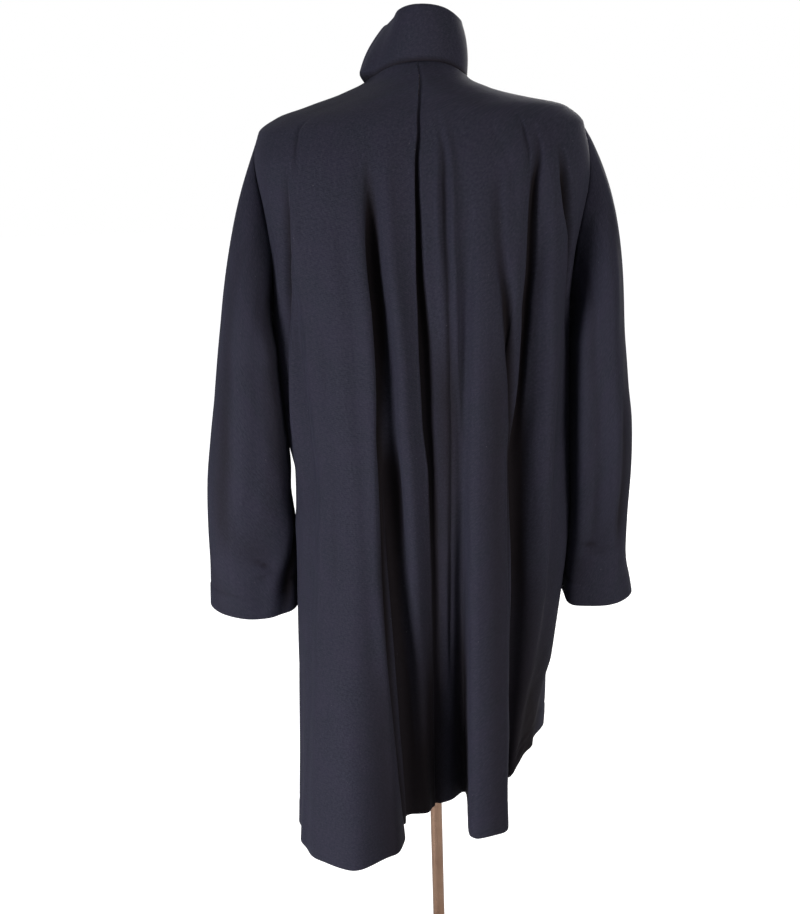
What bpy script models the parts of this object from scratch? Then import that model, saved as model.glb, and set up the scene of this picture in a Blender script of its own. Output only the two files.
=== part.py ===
"""Wool overcoat hanging on a limbless dress form that stands on a pole and a round base.

Frame: metres, +Z up, origin at the middle of the base's underside, on the pole's axis.
The coat's front faces -Y and the wearer's left is +X.

The coat is one surface, cut into panels. A point on it has a girth angle (0 at the left
side, 90 at the centre back, 180 at the right side, 270 at the centre front) and a height.
SECTIONS gives the level cross sections, CREASES the ridges and troughs that hang from the
shoulders, and SLEEVE_RINGS the rings of a sleeve.
"""
import math

import bpy
import numpy as np
from mathutils import Vector
from mathutils.bvhtree import BVHTree

# ------------------------------------------------------------------ driving sizes
CLOTH = 0.0018             # wall of the coat's wool cloth
COLLAR_CLOTH = 0.0030      # collar, two layers of the cloth
SEAM_GAP = 0.0004          # between two sewn pieces
SLEEVE_GAP = 0.0006        # sleeve's top edge outside the armhole
NAPE_Z = 1.460             # neck seam at the centre back
FRONT_NECK_Z = 1.385       # neck seam at the centre front
NECK_HALF = 0.066          # the neck opening's half width
NECK_BACK = 0.068          # its depth behind the pole's axis
NECK_FRONT = 0.062         # and in front of it
SHOULDER_TIP_Z = 1.378     # top of the armhole
UNDERARM_Z = 1.145         # bottom of the armhole
HEM_Z = 0.398              # hem's mean height
HEM_TILT = 0.110           # hem drops to the left back, metres in a metre
HEM_TILT_DIRECTION = (0.78, 0.62)
WAIST_Z = 0.950            # height at which a crease's waist depth is measured
CREASE_TOP_Z = 1.360       # height at which a crease's top angle is measured
CREASE_QUICK = 1.4         # how much sooner than the waist a crease is at its waist depth
ARMHOLE_LEFT_BACK = 17.0   # girth angle cut away behind the left shoulder, degrees
ARMHOLE_RIGHT_BACK = 18.0  # behind the right one
ARMHOLE_FRONT = 24.0       # and in front of both
COLLAR_HEIGHT = 0.067
COLLAR_GAP = 0.0006        # collar's lower edge above the neck seam
COLLAR_ENDS = (-76.0, 257.0)   # girth angles of the collar's left and right ends
LAP = 5.0                  # each front passes the centre front by this girth angle
LAP_RAMP = 9.0             # the upper front rises over the lower one within this angle
LAP_LIFT = 0.0030          # outer face of the upper front over that of the lower one
BUTTON_RADIUS = 0.0125
BUTTON_THICK = 0.0040
BUTTON_X = -0.002          # buttons' distance from the centre front, to the right
BUTTON_CLEAR = 0.0004      # button to cloth
BUTTON_HEIGHTS = (1.245, 1.125, 1.005, 0.885)
POLE_RADIUS = 0.0092
BASE_RADIUS = 0.175
BASE_THICK = 0.008
PART_GAP = 0.0003          # between parts of the stand
SOCKET_RADIUS = 0.024      # the base's raised socket under the pole
SOCKET_HEIGHT = 0.014
FORM_BOTTOM_Z = 0.800
FORM_SEAT = 0.0009         # form to cloth where its shoulders carry the coat, upright

# z, half width, depth behind the pole, depth in front of it, squareness of the section
SECTIONS = (
    (1.475, 0.050, 0.052, 0.022, 2.0),
    (1.460, 0.057, 0.068, 0.026, 2.0),
    (1.441, 0.066, 0.082, 0.030, 2.0),
    (1.425, 0.098, 0.091, 0.036, 2.1),
    (1.411, 0.146, 0.097, 0.046, 2.2),
    (1.397, 0.192, 0.104, 0.056, 2.3),
    (1.378, 0.2155, 0.111, 0.066, 2.4),
    (1.340, 0.2210, 0.122, 0.084, 2.7),
    (1.280, 0.2140, 0.132, 0.108, 2.8),
    (1.210, 0.2060, 0.138, 0.128, 2.8),
    (1.145, 0.1990, 0.140, 0.138, 2.7),
    (1.050, 0.1950, 0.140, 0.142, 2.6),
    (1.000, 0.1920, 0.140, 0.143, 2.6),
    (0.940, 0.1895, 0.141, 0.144, 2.5),
    (0.720, 0.1950, 0.140, 0.160, 2.3),
    (0.380, 0.1880, 0.135, 0.190, 2.2),
)

# z, how much wider than SECTIONS the left and the right half are at the shoulders
SHOULDER_SHIFT = (
    (1.425, 0.000, 0.000),
    (1.411, -0.005, 0.006),
    (1.404, -0.008, 0.015),
    (1.397, -0.007, 0.010),
    (1.378, -0.003, 0.005),
    (1.340, 0.000, 0.003),
    (1.210, 0.000, 0.000),
)

# girth angle, how much higher than the tilted plane the hem is there
HEM_RISE = (
    (118.0, 0.000),
    (136.0, 0.006),
    (150.0, 0.024),
    (168.0, 0.034),
    (186.0, 0.030),
    (208.0, 0.020),
    (240.0, 0.000),
)

# name, girth angle at the shoulders, at the hem, z where it starts, depth at the waist,
# depth at the hem (+ is a ridge, - a trough), metres
CREASES = (
    ("side_left", 0.0, 0.0, 1.12, -0.004, 0.006),
    ("left_back_turn", 22.0, 24.0, 1.12, 0.000, 0.040),
    ("left_armhole_trough", 34.0, 34.0, 1.37, -0.006, 0.066),
    ("left_armhole_ridge", 41.0, 42.0, 1.37, 0.004, 0.082),
    ("left_lobe", 54.0, 55.0, 1.30, 0.008, 0.090),
    ("left_lobe_edge", 72.0, 71.0, 1.30, 0.007, 0.047),
    ("left_trough", 77.0, 79.0, 1.40, -0.016, -0.044),
    ("left_of_centre", 82.5, 85.0, 1.38, 0.003, -0.054),
    ("centre_back", 89.0, 88.6, 1.455, -0.012, -0.070),
    ("right_of_centre", 93.3, 94.6, 1.41, 0.004, -0.072),
    ("right_inner_trough", 97.0, 99.2, 1.40, -0.012, -0.100),
    ("right_lobe_inner", 101.0, 101.2, 1.40, 0.007, 0.026),
    ("right_lobe_outer", 115.5, 116.5, 1.30, 0.008, 0.036),
    ("right_trough", 124.5, 121.5, 1.38, -0.020, -0.078),
    ("right_panel", 142.0, 142.0, 1.34, 0.004, -0.062),
    ("right_armhole_trough", 154.0, 160.0, 1.36, -0.004, -0.054),
    ("side_right", 180.0, 180.0, 1.10, 0.006, -0.038),
    ("right_side_ridge", 200.0, 206.0, 1.06, 0.004, 0.013),
    ("right_side_trough", 213.0, 217.0, 1.20, -0.006, -0.008),
    ("right_front_ridge", 226.0, 228.0, 1.22, 0.006, 0.024),
    ("right_front_trough", 240.0, 241.0, 1.18, -0.005, -0.010),
    ("right_edge_ridge", 252.0, 253.0, 1.16, 0.003, 0.014),
    ("centre_front", 270.0, 270.0, 1.10, 0.000, 0.000),
    ("left_edge_ridge", 286.0, 287.0, 1.16, 0.003, 0.016),
    ("left_front_trough", 299.0, 300.0, 1.20, -0.005, -0.014),
    ("left_front_ridge", 312.0, 314.0, 1.22, 0.006, 0.022),
    ("left_side_trough", 327.0, 328.0, 1.18, -0.005, -0.012),
    ("left_side_ridge", 342.0, 344.0, 1.08, 0.002, 0.012),
)

# z, the ring's y, then for the left and the right sleeve: distance of the ring's middle
# from the pole's axis, half width, half depth
SLEEVE_RINGS = (
    (1.085, 0.012, 0.2415, 0.0455, 0.068, 0.2390, 0.0400, 0.071),
    (1.030, 0.016, 0.2435, 0.0515, 0.064, 0.2415, 0.0425, 0.068),
    (0.970, 0.014, 0.2475, 0.0575, 0.058, 0.2455, 0.0465, 0.064),
    (0.900, 0.006, 0.2535, 0.0620, 0.051, 0.2470, 0.0480, 0.060),
    (0.830, -0.004, 0.2570, 0.0635, 0.045, 0.2465, 0.0470, 0.057),
    (0.765, -0.014, 0.2595, 0.0650, 0.040, 0.2485, 0.0475, 0.054),
    (0.690, -0.020, 0.2615, 0.0660, 0.037, 0.2545, 0.0525, 0.050),
)
SLEEVE_COLUMNS = 32
CAP_ROWS = 7

# rows of the panels: heights at the side above the underarm, then shares of the skirt
UPPER_ROWS = (1.441, 1.431, 1.418, 1.405, 1.392, 1.378, 1.358, 1.330, 1.295, 1.255,
              1.215, 1.182, 1.160, 1.145)
FOLD_LIMIT = 0.55          # sharpest fold whose corner keeps the full wall, as a cosine
COLUMN_ANGLE = 6.5         # widest step between two columns of a panel
STEEP_PIECES = {"right_inner_trough": 4}   # columns from this crease to the next one
# girth angle, sideways lean of the deep creases of the back, as a share of their depth
LEAN = ((94.0, 0.0), (98.5, 0.16), (104.0, 0.16), (122.0, 0.09), (136.0, 0.0))
TIP_ROW = UPPER_ROWS.index(SHOULDER_TIP_Z)
SKIRT_ROWS = (0.07, 0.16, 0.27, 0.39, 0.51, 0.63, 0.75, 0.88, 1.0)

# girth angle, height share, lean of the collar's top edge outward, bulge half way up
COLLAR_SHAPE = (
    (-76.0, 0.66, 0.016, 0.010),
    (-50.0, 0.84, 0.000, 0.016),
    (-20.0, 1.00, -0.020, 0.008),
    (20.0, 1.00, -0.028, 0.000),
    (60.0, 1.00, -0.016, 0.000),
    (90.0, 1.00, -0.006, 0.001),
    (135.0, 1.00, -0.004, 0.002),
    (180.0, 1.00, -0.006, 0.003),
    (225.0, 0.92, 0.000, 0.004),
    (257.0, 0.66, 0.012, 0.004),
)
COLLAR_COLUMNS = 36
COLLAR_ROWS = 5

# z, half width, depth behind, depth in front, squareness of the dress form where it is
# clear of the coat; its shoulder rows follow the coat's
FORM_SECTIONS = (
    (FORM_BOTTOM_Z, 0.136, 0.086, 0.096, 2.3),
    (0.808, 0.142, 0.092, 0.102, 2.3),
    (0.860, 0.148, 0.096, 0.108, 2.3),
    (0.930, 0.148, 0.098, 0.110, 2.3),
    (1.000, 0.146, 0.099, 0.110, 2.3),
    (1.070, 0.152, 0.105, 0.116, 2.3),
    (1.140, 0.162, 0.111, 0.119, 2.4),
    (1.210, 0.172, 0.113, 0.113, 2.4),
    (1.270, 0.180, 0.109, 0.098, 2.4),
    (1.320, 0.186, 0.100, 0.076, 2.3),
    (1.352, 0.190, 0.094, 0.060, 2.2),
    (1.374, 0.192, 0.088, 0.050, 2.1),
    (1.4460, 0.050, 0.050, 0.030, 2.0),
    (1.4600, 0.047, 0.046, 0.028, 2.0),
    (1.4700, 0.044, 0.043, 0.026, 2.0),
    (1.4740, 0.038, 0.037, 0.021, 2.0),
)
FORM_SEAT_ROWS = 5         # rows of the coat's shoulders that the form's follow
FORM_SLIMMER = 0.80        # the form's depth there as a share of the coat's
FORM_COLUMNS = 48

COLOURS = {
    "wool": ((0.020, 0.021, 0.036, 1.0), 0.85, 0.0),
    "button": ((0.015, 0.015, 0.022, 1.0), 0.35, 0.0),
    "form": ((0.62, 0.58, 0.52, 1.0), 0.80, 0.0),
    "pole": ((0.55, 0.38, 0.28, 1.0), 0.28, 1.0),
    "base": ((0.50, 0.36, 0.27, 1.0), 0.35, 1.0),
}


# ------------------------------------------------------------------ curves
def smooth_curve(x, xs, ys):
    """Cubic through (xs, ys) that does not overshoot; xs may rise or fall."""
    xs = np.asarray(xs, float)
    ys = np.asarray(ys, float)
    if xs[0] > xs[-1]:
        xs = xs[::-1]
        ys = ys[::-1]
    step = np.diff(xs)
    slope = np.diff(ys) / step
    inner = np.where(slope[:-1] * slope[1:] > 0.0,
                     2.0 * slope[:-1] * slope[1:] / (slope[:-1] + slope[1:] + 1e-30), 0.0)
    tangent = np.concatenate(([slope[0]], inner, [slope[-1]]))
    x = np.clip(x, xs[0], xs[-1])
    k = np.clip(np.searchsorted(xs, x, side="right") - 1, 0, len(step) - 1)
    s = (x - xs[k]) / step[k]
    return ((1 + 2 * s) * (1 - s) ** 2 * ys[k] + s * (1 - s) ** 2 * step[k] * tangent[k]
            + s * s * (3 - 2 * s) * ys[k + 1] + s * s * (s - 1) * step[k] * tangent[k + 1])


def ease(s):
    """0 to 1 with level ends."""
    s = np.clip(s, 0.0, 1.0)
    return s * s * (3.0 - 2.0 * s)


# ------------------------------------------------------------------ the coat's surface
def section_point(angle, z):
    """Level section without creases: x, y at a girth angle in degrees."""
    rows = np.array(SECTIONS)
    half = smooth_curve(z, rows[:, 0], rows[:, 1])
    back = smooth_curve(z, rows[:, 0], rows[:, 2])
    front = smooth_curve(z, rows[:, 0], rows[:, 3])
    power = 2.0 / smooth_curve(z, rows[:, 0], rows[:, 4])
    c = np.cos(np.radians(angle))
    s = np.sin(np.radians(angle))
    shifts = np.array(SHOULDER_SHIFT)
    left = smooth_curve(z, shifts[:, 0], shifts[:, 1])
    right = smooth_curve(z, shifts[:, 0], shifts[:, 2])
    x = (half + np.where(c > 0.0, left, right)) * np.sign(c) * np.abs(c) ** power
    y = np.where(s >= 0.0, back, front) * np.sign(s) * np.abs(s) ** power
    return x, y


def crease_depth(z, start, waist, hem):
    """Depth of one crease at height z: nothing at its start, then waist and hem depths."""
    share = CREASE_QUICK * (start - z) / (start - WAIST_Z)
    below = np.clip((WAIST_Z - z) / (WAIST_Z - HEM_Z), 0.0, 1.15)
    return waist * ease(share) + (hem - waist) * below ** 1.3


def creases(angle, z):
    """Outward shift of the surface by the creases beside a girth angle."""
    names, top, hem, start, waist, deep = zip(*CREASES)
    places = [crease_places(t, h, z) for t, h in zip(top, hem)]
    depths = [crease_depth(z, a, b, c) for a, b, c in zip(start, waist, deep)]
    places.append(places[0] + 360.0)
    depths.append(depths[0])
    angle = np.mod(angle, 360.0)
    shift = np.zeros_like(angle)
    for k in range(len(CREASES)):
        inside = (angle >= places[k]) & (angle <= places[k + 1])
        s = (angle - places[k]) / (places[k + 1] - places[k])
        shift = np.where(inside, depths[k] + (depths[k + 1] - depths[k]) * ease(s), shift)
    return shift


def coat_point(angle, z, lift=0.0):
    """Point on the coat's outer face, creases included, moved out by lift."""
    angle = np.asarray(angle, float)
    z = np.asarray(z, float) + 0.0 * angle
    x, y = section_point(angle, z)
    x2, y2 = section_point(angle + 0.5, z)
    x1, y1 = section_point(angle - 0.5, z)
    out_x = y2 - y1
    out_y = x1 - x2
    length = np.sqrt(out_x ** 2 + out_y ** 2) + 1e-12
    out_x = out_x / length
    out_y = out_y / length
    # the deep creases of the back run straight back, not square to the section
    deep = creases(angle, z)
    straight = 0.2 + 0.8 * np.abs(np.cos(np.radians(angle))) ** 1.5
    along = np.sqrt((straight * out_x) ** 2 + out_y ** 2) + 1e-12
    lean = np.interp(np.mod(angle, 360.0), [row[0] for row in LEAN], [row[1] for row in LEAN])
    x = x + deep * (straight * out_x / along + lean) + lift * out_x
    y = y + deep * out_y / along + lift * out_y
    return np.stack([x, y, z], -1)


def neck_z(angle):
    """Height of the neck seam: where the surface comes in to the neck's oval."""
    angle = np.asarray(angle, float)
    low = np.full(angle.shape, FRONT_NECK_Z - 0.03)
    high = np.full(angle.shape, NAPE_Z + 0.03)
    for _ in range(30):
        middle = 0.5 * (low + high)
        x, y = section_point(angle, middle)
        deep = np.where(y >= 0.0, NECK_BACK, NECK_FRONT)
        outside = (x / NECK_HALF) ** 2 + (y / deep) ** 2 > 1.0
        low = np.where(outside, middle, low)
        high = np.where(outside, high, middle)
    return 0.5 * (low + high)


def hem_z(angle):
    """Height of the hem, which drops towards the left back."""
    x, y = section_point(angle, HEM_Z)
    rises = np.array(HEM_RISE)
    rise = smooth_curve(np.mod(angle, 360.0), rises[:, 0], rises[:, 1])
    return HEM_Z + rise - HEM_TILT * (x * HEM_TILT_DIRECTION[0] + y * HEM_TILT_DIRECTION[1])


def armhole(z, widest):
    """Girth angle cut away beside the shoulder for the armhole at height z."""
    s = np.clip((SHOULDER_TIP_Z - z) / (SHOULDER_TIP_Z - UNDERARM_Z), 0.0, 1.0)
    return widest * np.sin(np.pi * s ** 1.15) ** 0.62


def crease_places(top, hem, z):
    """Girth angles at height z of lines given at the shoulders and at the hem."""
    low = np.clip((CREASE_TOP_Z - z) / (CREASE_TOP_Z - HEM_Z), 0.0, 1.0)
    return top + (hem - top) * low


def panel_columns(first, last):
    """Girth angles at the shoulders and at the hem from one crease to another."""
    names = [row[0] for row in CREASES]
    top = [row[1] for row in CREASES]
    hem = [row[2] for row in CREASES]
    count = len(CREASES)
    index = names.index(first)
    chosen = [index]
    while names[index] != last:
        index = (index + 1) % count
        chosen.append(index)
    tops = [top[i] + (360.0 if n and i < chosen[0] else 0.0) for n, i in enumerate(chosen)]
    hems = [hem[i] + (360.0 if n and i < chosen[0] else 0.0) for n, i in enumerate(chosen)]
    shares = []
    for a, b in zip(tops[:-1], tops[1:]):
        shares.append(max(2, int(math.ceil((b - a) / COLUMN_ANGLE))))
    for n, i in enumerate(chosen[:-1]):
        shares[n] = STEEP_PIECES.get(names[i], shares[n])
    places_top = [tops[0]]
    places_hem = [hems[0]]
    for k, pieces in enumerate(shares):
        for n in range(1, pieces + 1):
            s = n / pieces
            places_top.append(tops[k] + (tops[k + 1] - tops[k]) * s)
            places_hem.append(hems[k] + (hems[k + 1] - hems[k]) * s)
    return np.array(places_top), np.array(places_hem)


def lap_lift(angle):
    """How far the upper front stands over the lower one beside the centre front."""
    return LAP_LIFT * (1.0 - ease((angle - (270.0 + LAP + 2.0)) / LAP_RAMP))


def panel_grid(first, last, seam_end, lap, widest):
    """Outer points and outward normals of a panel.

    seam_end is 0 or -1, the column at the side seam. lap is 0 on a back, 1 on the
    front that lies over the other, and -1 on the front below it. widest is the girth
    angle that the armhole cuts away.
    """
    top, hem = panel_columns(first, last)
    if lap:
        edge = 270.0 - lap * LAP
        top = np.append(top, edge) if seam_end == 0 else np.insert(top, 0, edge)
        hem = np.append(hem, edge) if seam_end == 0 else np.insert(hem, 0, edge)
    far = top[-1 - seam_end]
    seam = top[seam_end]
    angles = []
    heights = []
    for level in UPPER_ROWS:
        place = crease_places(top, hem, level)
        kept = 1.0 - armhole(level, widest) / abs(far - seam)
        place = far + (place - far) * kept
        share = (level - UNDERARM_Z) / (UPPER_ROWS[0] - UNDERARM_Z)
        angles.append(place)
        heights.append(UNDERARM_Z + (neck_z(place) - UNDERARM_Z) * share)
    for share in SKIRT_ROWS:
        place = crease_places(top, hem, UNDERARM_Z + (HEM_Z - UNDERARM_Z) * share)
        angles.append(place)
        heights.append(UNDERARM_Z + (hem_z(place) - UNDERARM_Z) * share)
    angles = np.array(angles)
    heights = np.array(heights)
    lift = lap_lift(angles) if lap > 0 else np.zeros_like(angles)
    points = coat_point(angles, heights, lift)
    edge_normals = surface_normals(angles, heights, lift)
    offsets = fold_offsets(points)
    offsets[:, 0] = edge_normals[:, 0]
    offsets[:, -1] = edge_normals[:, -1]
    return points, offsets


def surface_normals(angles, heights, lift):
    """Outward normals of the coat's surface, the same for both panels at a seam."""
    da = 0.25
    dz = 0.002
    around = coat_point(angles + da, heights, lift) - coat_point(angles - da, heights, lift)
    upward = coat_point(angles, heights + dz, lift) - coat_point(angles, heights - dz, lift)
    normal = np.cross(around, upward)
    return normal / (np.linalg.norm(normal, axis=-1, keepdims=True) + 1e-12)


def fold_offsets(points):
    """Outward offsets for a unit wall at each grid point, longer where the cloth folds."""
    across = points[:-1, 1:] - points[1:, :-1]
    other = points[1:, 1:] - points[:-1, :-1]
    flat = np.cross(other, across)
    flat /= np.linalg.norm(flat, axis=-1, keepdims=True) + 1e-12
    rows = np.concatenate([flat[:1], 0.5 * (flat[:-1] + flat[1:]), flat[-1:]])
    before = np.concatenate([rows[:, :1], rows], axis=1)
    after = np.concatenate([rows, rows[:, -1:]], axis=1)
    before /= np.linalg.norm(before, axis=-1, keepdims=True)
    after /= np.linalg.norm(after, axis=-1, keepdims=True)
    normal = before + after
    normal /= np.linalg.norm(normal, axis=-1, keepdims=True)
    share = np.clip((normal * after).sum(-1, keepdims=True), FOLD_LIMIT, 1.0)
    return normal / share


def pull_in(points, gap_first=0.0, gap_last=0.0):
    """Moves the first and last columns of a grid inward to leave a seam gap."""
    points = points.copy()
    if gap_first:
        step = points[:, 1] - points[:, 0]
        points[:, 0] += step / np.linalg.norm(step, axis=-1, keepdims=True) * gap_first
    if gap_last:
        step = points[:, -2] - points[:, -1]
        points[:, -1] += step / np.linalg.norm(step, axis=-1, keepdims=True) * gap_last
    return points


# ------------------------------------------------------------------ meshes and materials
def material(name):
    colour, rough, metal = COLOURS[name]
    made = bpy.data.materials.get(name)
    if made:
        return made
    made = bpy.data.materials.new(name)
    made.use_nodes = True
    shader = made.node_tree.nodes["Principled BSDF"]
    shader.inputs["Base Color"].default_value = colour
    shader.inputs["Roughness"].default_value = rough
    shader.inputs["Metallic"].default_value = metal
    made.diffuse_color = colour
    return made


def add_object(name, vertices, faces, slot, smooth=True):
    mesh = bpy.data.meshes.new(name)
    mesh.from_pydata([tuple(v) for v in vertices], [], faces)
    mesh.validate()
    made = bpy.data.objects.new(name, mesh)
    bpy.context.collection.objects.link(made)
    made.data.materials.append(material(slot))
    if smooth:
        mesh.shade_smooth()
        mesh.set_sharp_from_angle(angle=math.radians(50.0))
    return made


def wall(name, outer, inner, slot, closed=False):
    """Closed thin wall between two grids of points (rows down, columns round).

    The columns run so that, seen from outside, they go to the right with rows down
    where the girth angle rises; closed joins the last column to the first.
    """
    rows, columns = outer.shape[:2]
    count = rows * columns
    vertices = np.concatenate([outer.reshape(-1, 3), inner.reshape(-1, 3)])
    faces = []
    last = columns if closed else columns - 1

    def at(r, c, layer):
        return layer * count + r * columns + c % columns

    for r in range(rows - 1):
        for c in range(last):
            faces.append((at(r, c, 0), at(r + 1, c, 0), at(r + 1, c + 1, 0), at(r, c + 1, 0)))
            faces.append((at(r, c, 1), at(r, c + 1, 1), at(r + 1, c + 1, 1), at(r + 1, c, 1)))
    for c in range(last):
        faces.append((at(0, c, 0), at(0, c + 1, 0), at(0, c + 1, 1), at(0, c, 1)))
        end = rows - 1
        faces.append((at(end, c, 0), at(end, c, 1), at(end, c + 1, 1), at(end, c + 1, 0)))
    if not closed:
        for r in range(rows - 1):
            faces.append((at(r, 0, 0), at(r, 0, 1), at(r + 1, 0, 1), at(r + 1, 0, 0)))
            end = columns - 1
            faces.append((at(r, end, 0), at(r + 1, end, 0), at(r + 1, end, 1), at(r, end, 1)))
    return add_object(name, vertices, faces, slot)


def turned(name, profile, slot, columns=48):
    """Solid of revolution about the pole's axis, from a profile of (radius, z) upward."""
    vertices = []
    faces = []
    for radius, z in profile:
        for c in range(columns):
            a = 2.0 * math.pi * c / columns
            vertices.append((radius * math.cos(a), radius * math.sin(a), z))
    for r in range(len(profile) - 1):
        for c in range(columns):
            d = (c + 1) % columns
            faces.append((r * columns + c, r * columns + d,
                          (r + 1) * columns + d, (r + 1) * columns + c))
    faces.append(tuple(reversed(range(columns))))
    top = (len(profile) - 1) * columns
    faces.append(tuple(range(top, top + columns)))
    return add_object(name, vertices, faces, slot)


# ------------------------------------------------------------------ the coat's pieces
PANELS = (
    # name, first crease, last crease, column at the side seam, lap at the centre front,
    # girth angle cut away for the armhole
    ("back_left", "side_left", "centre_back", 0, 0, ARMHOLE_LEFT_BACK),
    ("back_right", "centre_back", "side_right", -1, 0, ARMHOLE_RIGHT_BACK),
    ("front_left", "centre_front", "side_left", -1, 1, ARMHOLE_FRONT),
    ("front_right", "side_right", "centre_front", 0, -1, ARMHOLE_FRONT),
)


def build_panels():
    """Backs and fronts; returns each armhole edge as points and normals."""
    edges = {}
    half = SEAM_GAP / 2.0
    for name, first, last, seam_end, lap, widest in PANELS:
        points, normals = panel_grid(first, last, seam_end, lap, widest)
        gap_first = 0.0 if lap and seam_end == -1 else half
        gap_last = 0.0 if lap and seam_end == 0 else half
        outer = pull_in(points, gap_first, gap_last)
        wall(name, outer, outer - normals * CLOTH, "wool")
        rows = slice(TIP_ROW, len(UPPER_ROWS))
        edges[name] = (points[rows, seam_end], normals[rows, seam_end])
    return edges


def sleeve_ring(z, ring_angle, side):
    """Points of a level sleeve ring; ring angle 0 is outside, 90 behind."""
    rows = np.array(SLEEVE_RINGS)
    column = 2 if side > 0 else 5
    middle_y = smooth_curve(z, rows[:, 0], rows[:, 1])
    middle_x = smooth_curve(z, rows[:, 0], rows[:, column])
    half_width = smooth_curve(z, rows[:, 0], rows[:, column + 1])
    half_depth = smooth_curve(z, rows[:, 0], rows[:, column + 2])
    a = np.radians(ring_angle)
    x = side * (middle_x + half_width * np.cos(a))
    y = middle_y + half_depth * np.sin(a)
    return np.stack([x, y, z + 0.0 * x], -1)


def grid_normals(points, side):
    """Outward normals of a closed tube grid by neighbouring points."""
    around = np.roll(points, -1, axis=1) - np.roll(points, 1, axis=1)
    down = np.gradient(points, axis=0)
    normal = np.cross(around, down) * -side
    return normal / (np.linalg.norm(normal, axis=-1, keepdims=True) + 1e-12)


def build_sleeve(name, side, back_edge, front_edge):
    """Sleeve from the armhole over the cap to the wrist; side is 1 left, -1 right."""
    # armhole loop: tip, down the back edge, underarm, up the front edge
    loop = np.concatenate([back_edge[0], front_edge[0][-2:0:-1]])
    loop_normal = np.concatenate([back_edge[1], front_edge[1][-2:0:-1]])
    count = len(loop)
    seats = np.arange(SLEEVE_COLUMNS) * count / SLEEVE_COLUMNS
    low = np.floor(seats).astype(int)
    part = (seats - low)[:, None]
    start = loop[low] * (1 - part) + loop[(low + 1) % count] * part
    normal = loop_normal[low] * (1 - part) + loop_normal[(low + 1) % count] * part
    normal /= np.linalg.norm(normal, axis=-1, keepdims=True)
    # ring angle of each column from the armhole loop's own shape
    middle = start.mean(axis=0)
    spread = np.degrees(np.arctan2((start[:, 1] - middle[1]) / 0.066,
                                   (start[:, 2] - middle[2]) / 0.117))
    ring_angle = np.degrees(np.unwrap(np.radians(spread)))
    ring_angle = 0.5 * ring_angle + 0.5 * np.arange(SLEEVE_COLUMNS) * 360.0 / SLEEVE_COLUMNS
    first = sleeve_ring(np.full(SLEEVE_COLUMNS, SLEEVE_RINGS[0][0]), ring_angle, side)
    ahead = sleeve_ring(np.full(SLEEVE_COLUMNS, SLEEVE_RINGS[1][0]), ring_angle, side)
    # leave the armhole outward, arrive at the first ring along the arm
    height = (start[:, 2] - UNDERARM_Z) / (SHOULDER_TIP_Z - UNDERARM_Z)
    behind = np.clip((start[:, 1] - middle[1]) / 0.05, -1.0, 1.0)
    outward = 0.46 - 0.04 * height + (0.0 if side > 0 else 0.16) * height
    leave = np.stack([side * outward, 0.16 * behind, -0.85 + 0.0 * height], -1)
    reach = np.linalg.norm(first - start, axis=-1, keepdims=True)
    leave *= reach
    arrive = (ahead - first)
    arrive /= np.linalg.norm(arrive, axis=-1, keepdims=True)
    arrive *= reach * 1.05
    rows = []
    for r in range(CAP_ROWS):
        s = r / CAP_ROWS
        rows.append((1 + 2 * s) * (1 - s) ** 2 * start + s * (1 - s) ** 2 * leave
                    + s * s * (3 - 2 * s) * first + s * s * (s - 1) * arrive)
    for ring in SLEEVE_RINGS:
        rows.append(sleeve_ring(np.full(SLEEVE_COLUMNS, ring[0]), ring_angle, side))
    points = np.array(rows)
    normals = grid_normals(points, side)
    points[0] = points[0] + np.array([side * SLEEVE_GAP, 0.0, 0.0])
    mitre = normals[0] + normal * height[:, None]
    normals[0] = mitre / np.linalg.norm(mitre, axis=-1, keepdims=True)
    if side < 0:
        points = points[:, ::-1]
        normals = normals[:, ::-1]
    wall(name, points, points - normals * CLOTH, "wool", closed=True)


def collar_grid(columns, rows):
    """Outer points of the standing collar, from its left end round the back."""
    shape = np.array(COLLAR_SHAPE)
    angle = np.linspace(COLLAR_ENDS[0], COLLAR_ENDS[1], columns)
    height = COLLAR_HEIGHT * smooth_curve(angle, shape[:, 0], shape[:, 1])
    lean = smooth_curve(angle, shape[:, 0], shape[:, 2])
    bulge = smooth_curve(angle, shape[:, 0], shape[:, 3])
    base_z = neck_z(angle)
    base = coat_point(angle, base_z, 0.0)
    flat = base * np.array([1.0, 1.0, 0.0])
    outward = flat / np.linalg.norm(flat, axis=-1, keepdims=True)
    points = []
    for r in range(rows):
        s = 1.0 - r / (rows - 1)
        out = lean * (0.35 * s + 0.65 * s * s) + bulge * math.sin(math.pi * s)
        row = base + outward * out[:, None]
        row[:, 2] = base_z + COLLAR_GAP + height * s
        points.append(row)
    return np.array(points), angle


def build_collar():
    points, angle = collar_grid(COLLAR_COLUMNS, COLLAR_ROWS)
    around = np.gradient(points, axis=1)
    down = np.gradient(points, axis=0)
    normals = np.cross(down, around)
    normals /= np.linalg.norm(normals, axis=-1, keepdims=True)
    wall("collar", points, points - normals * COLLAR_CLOTH, "wool")


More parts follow.
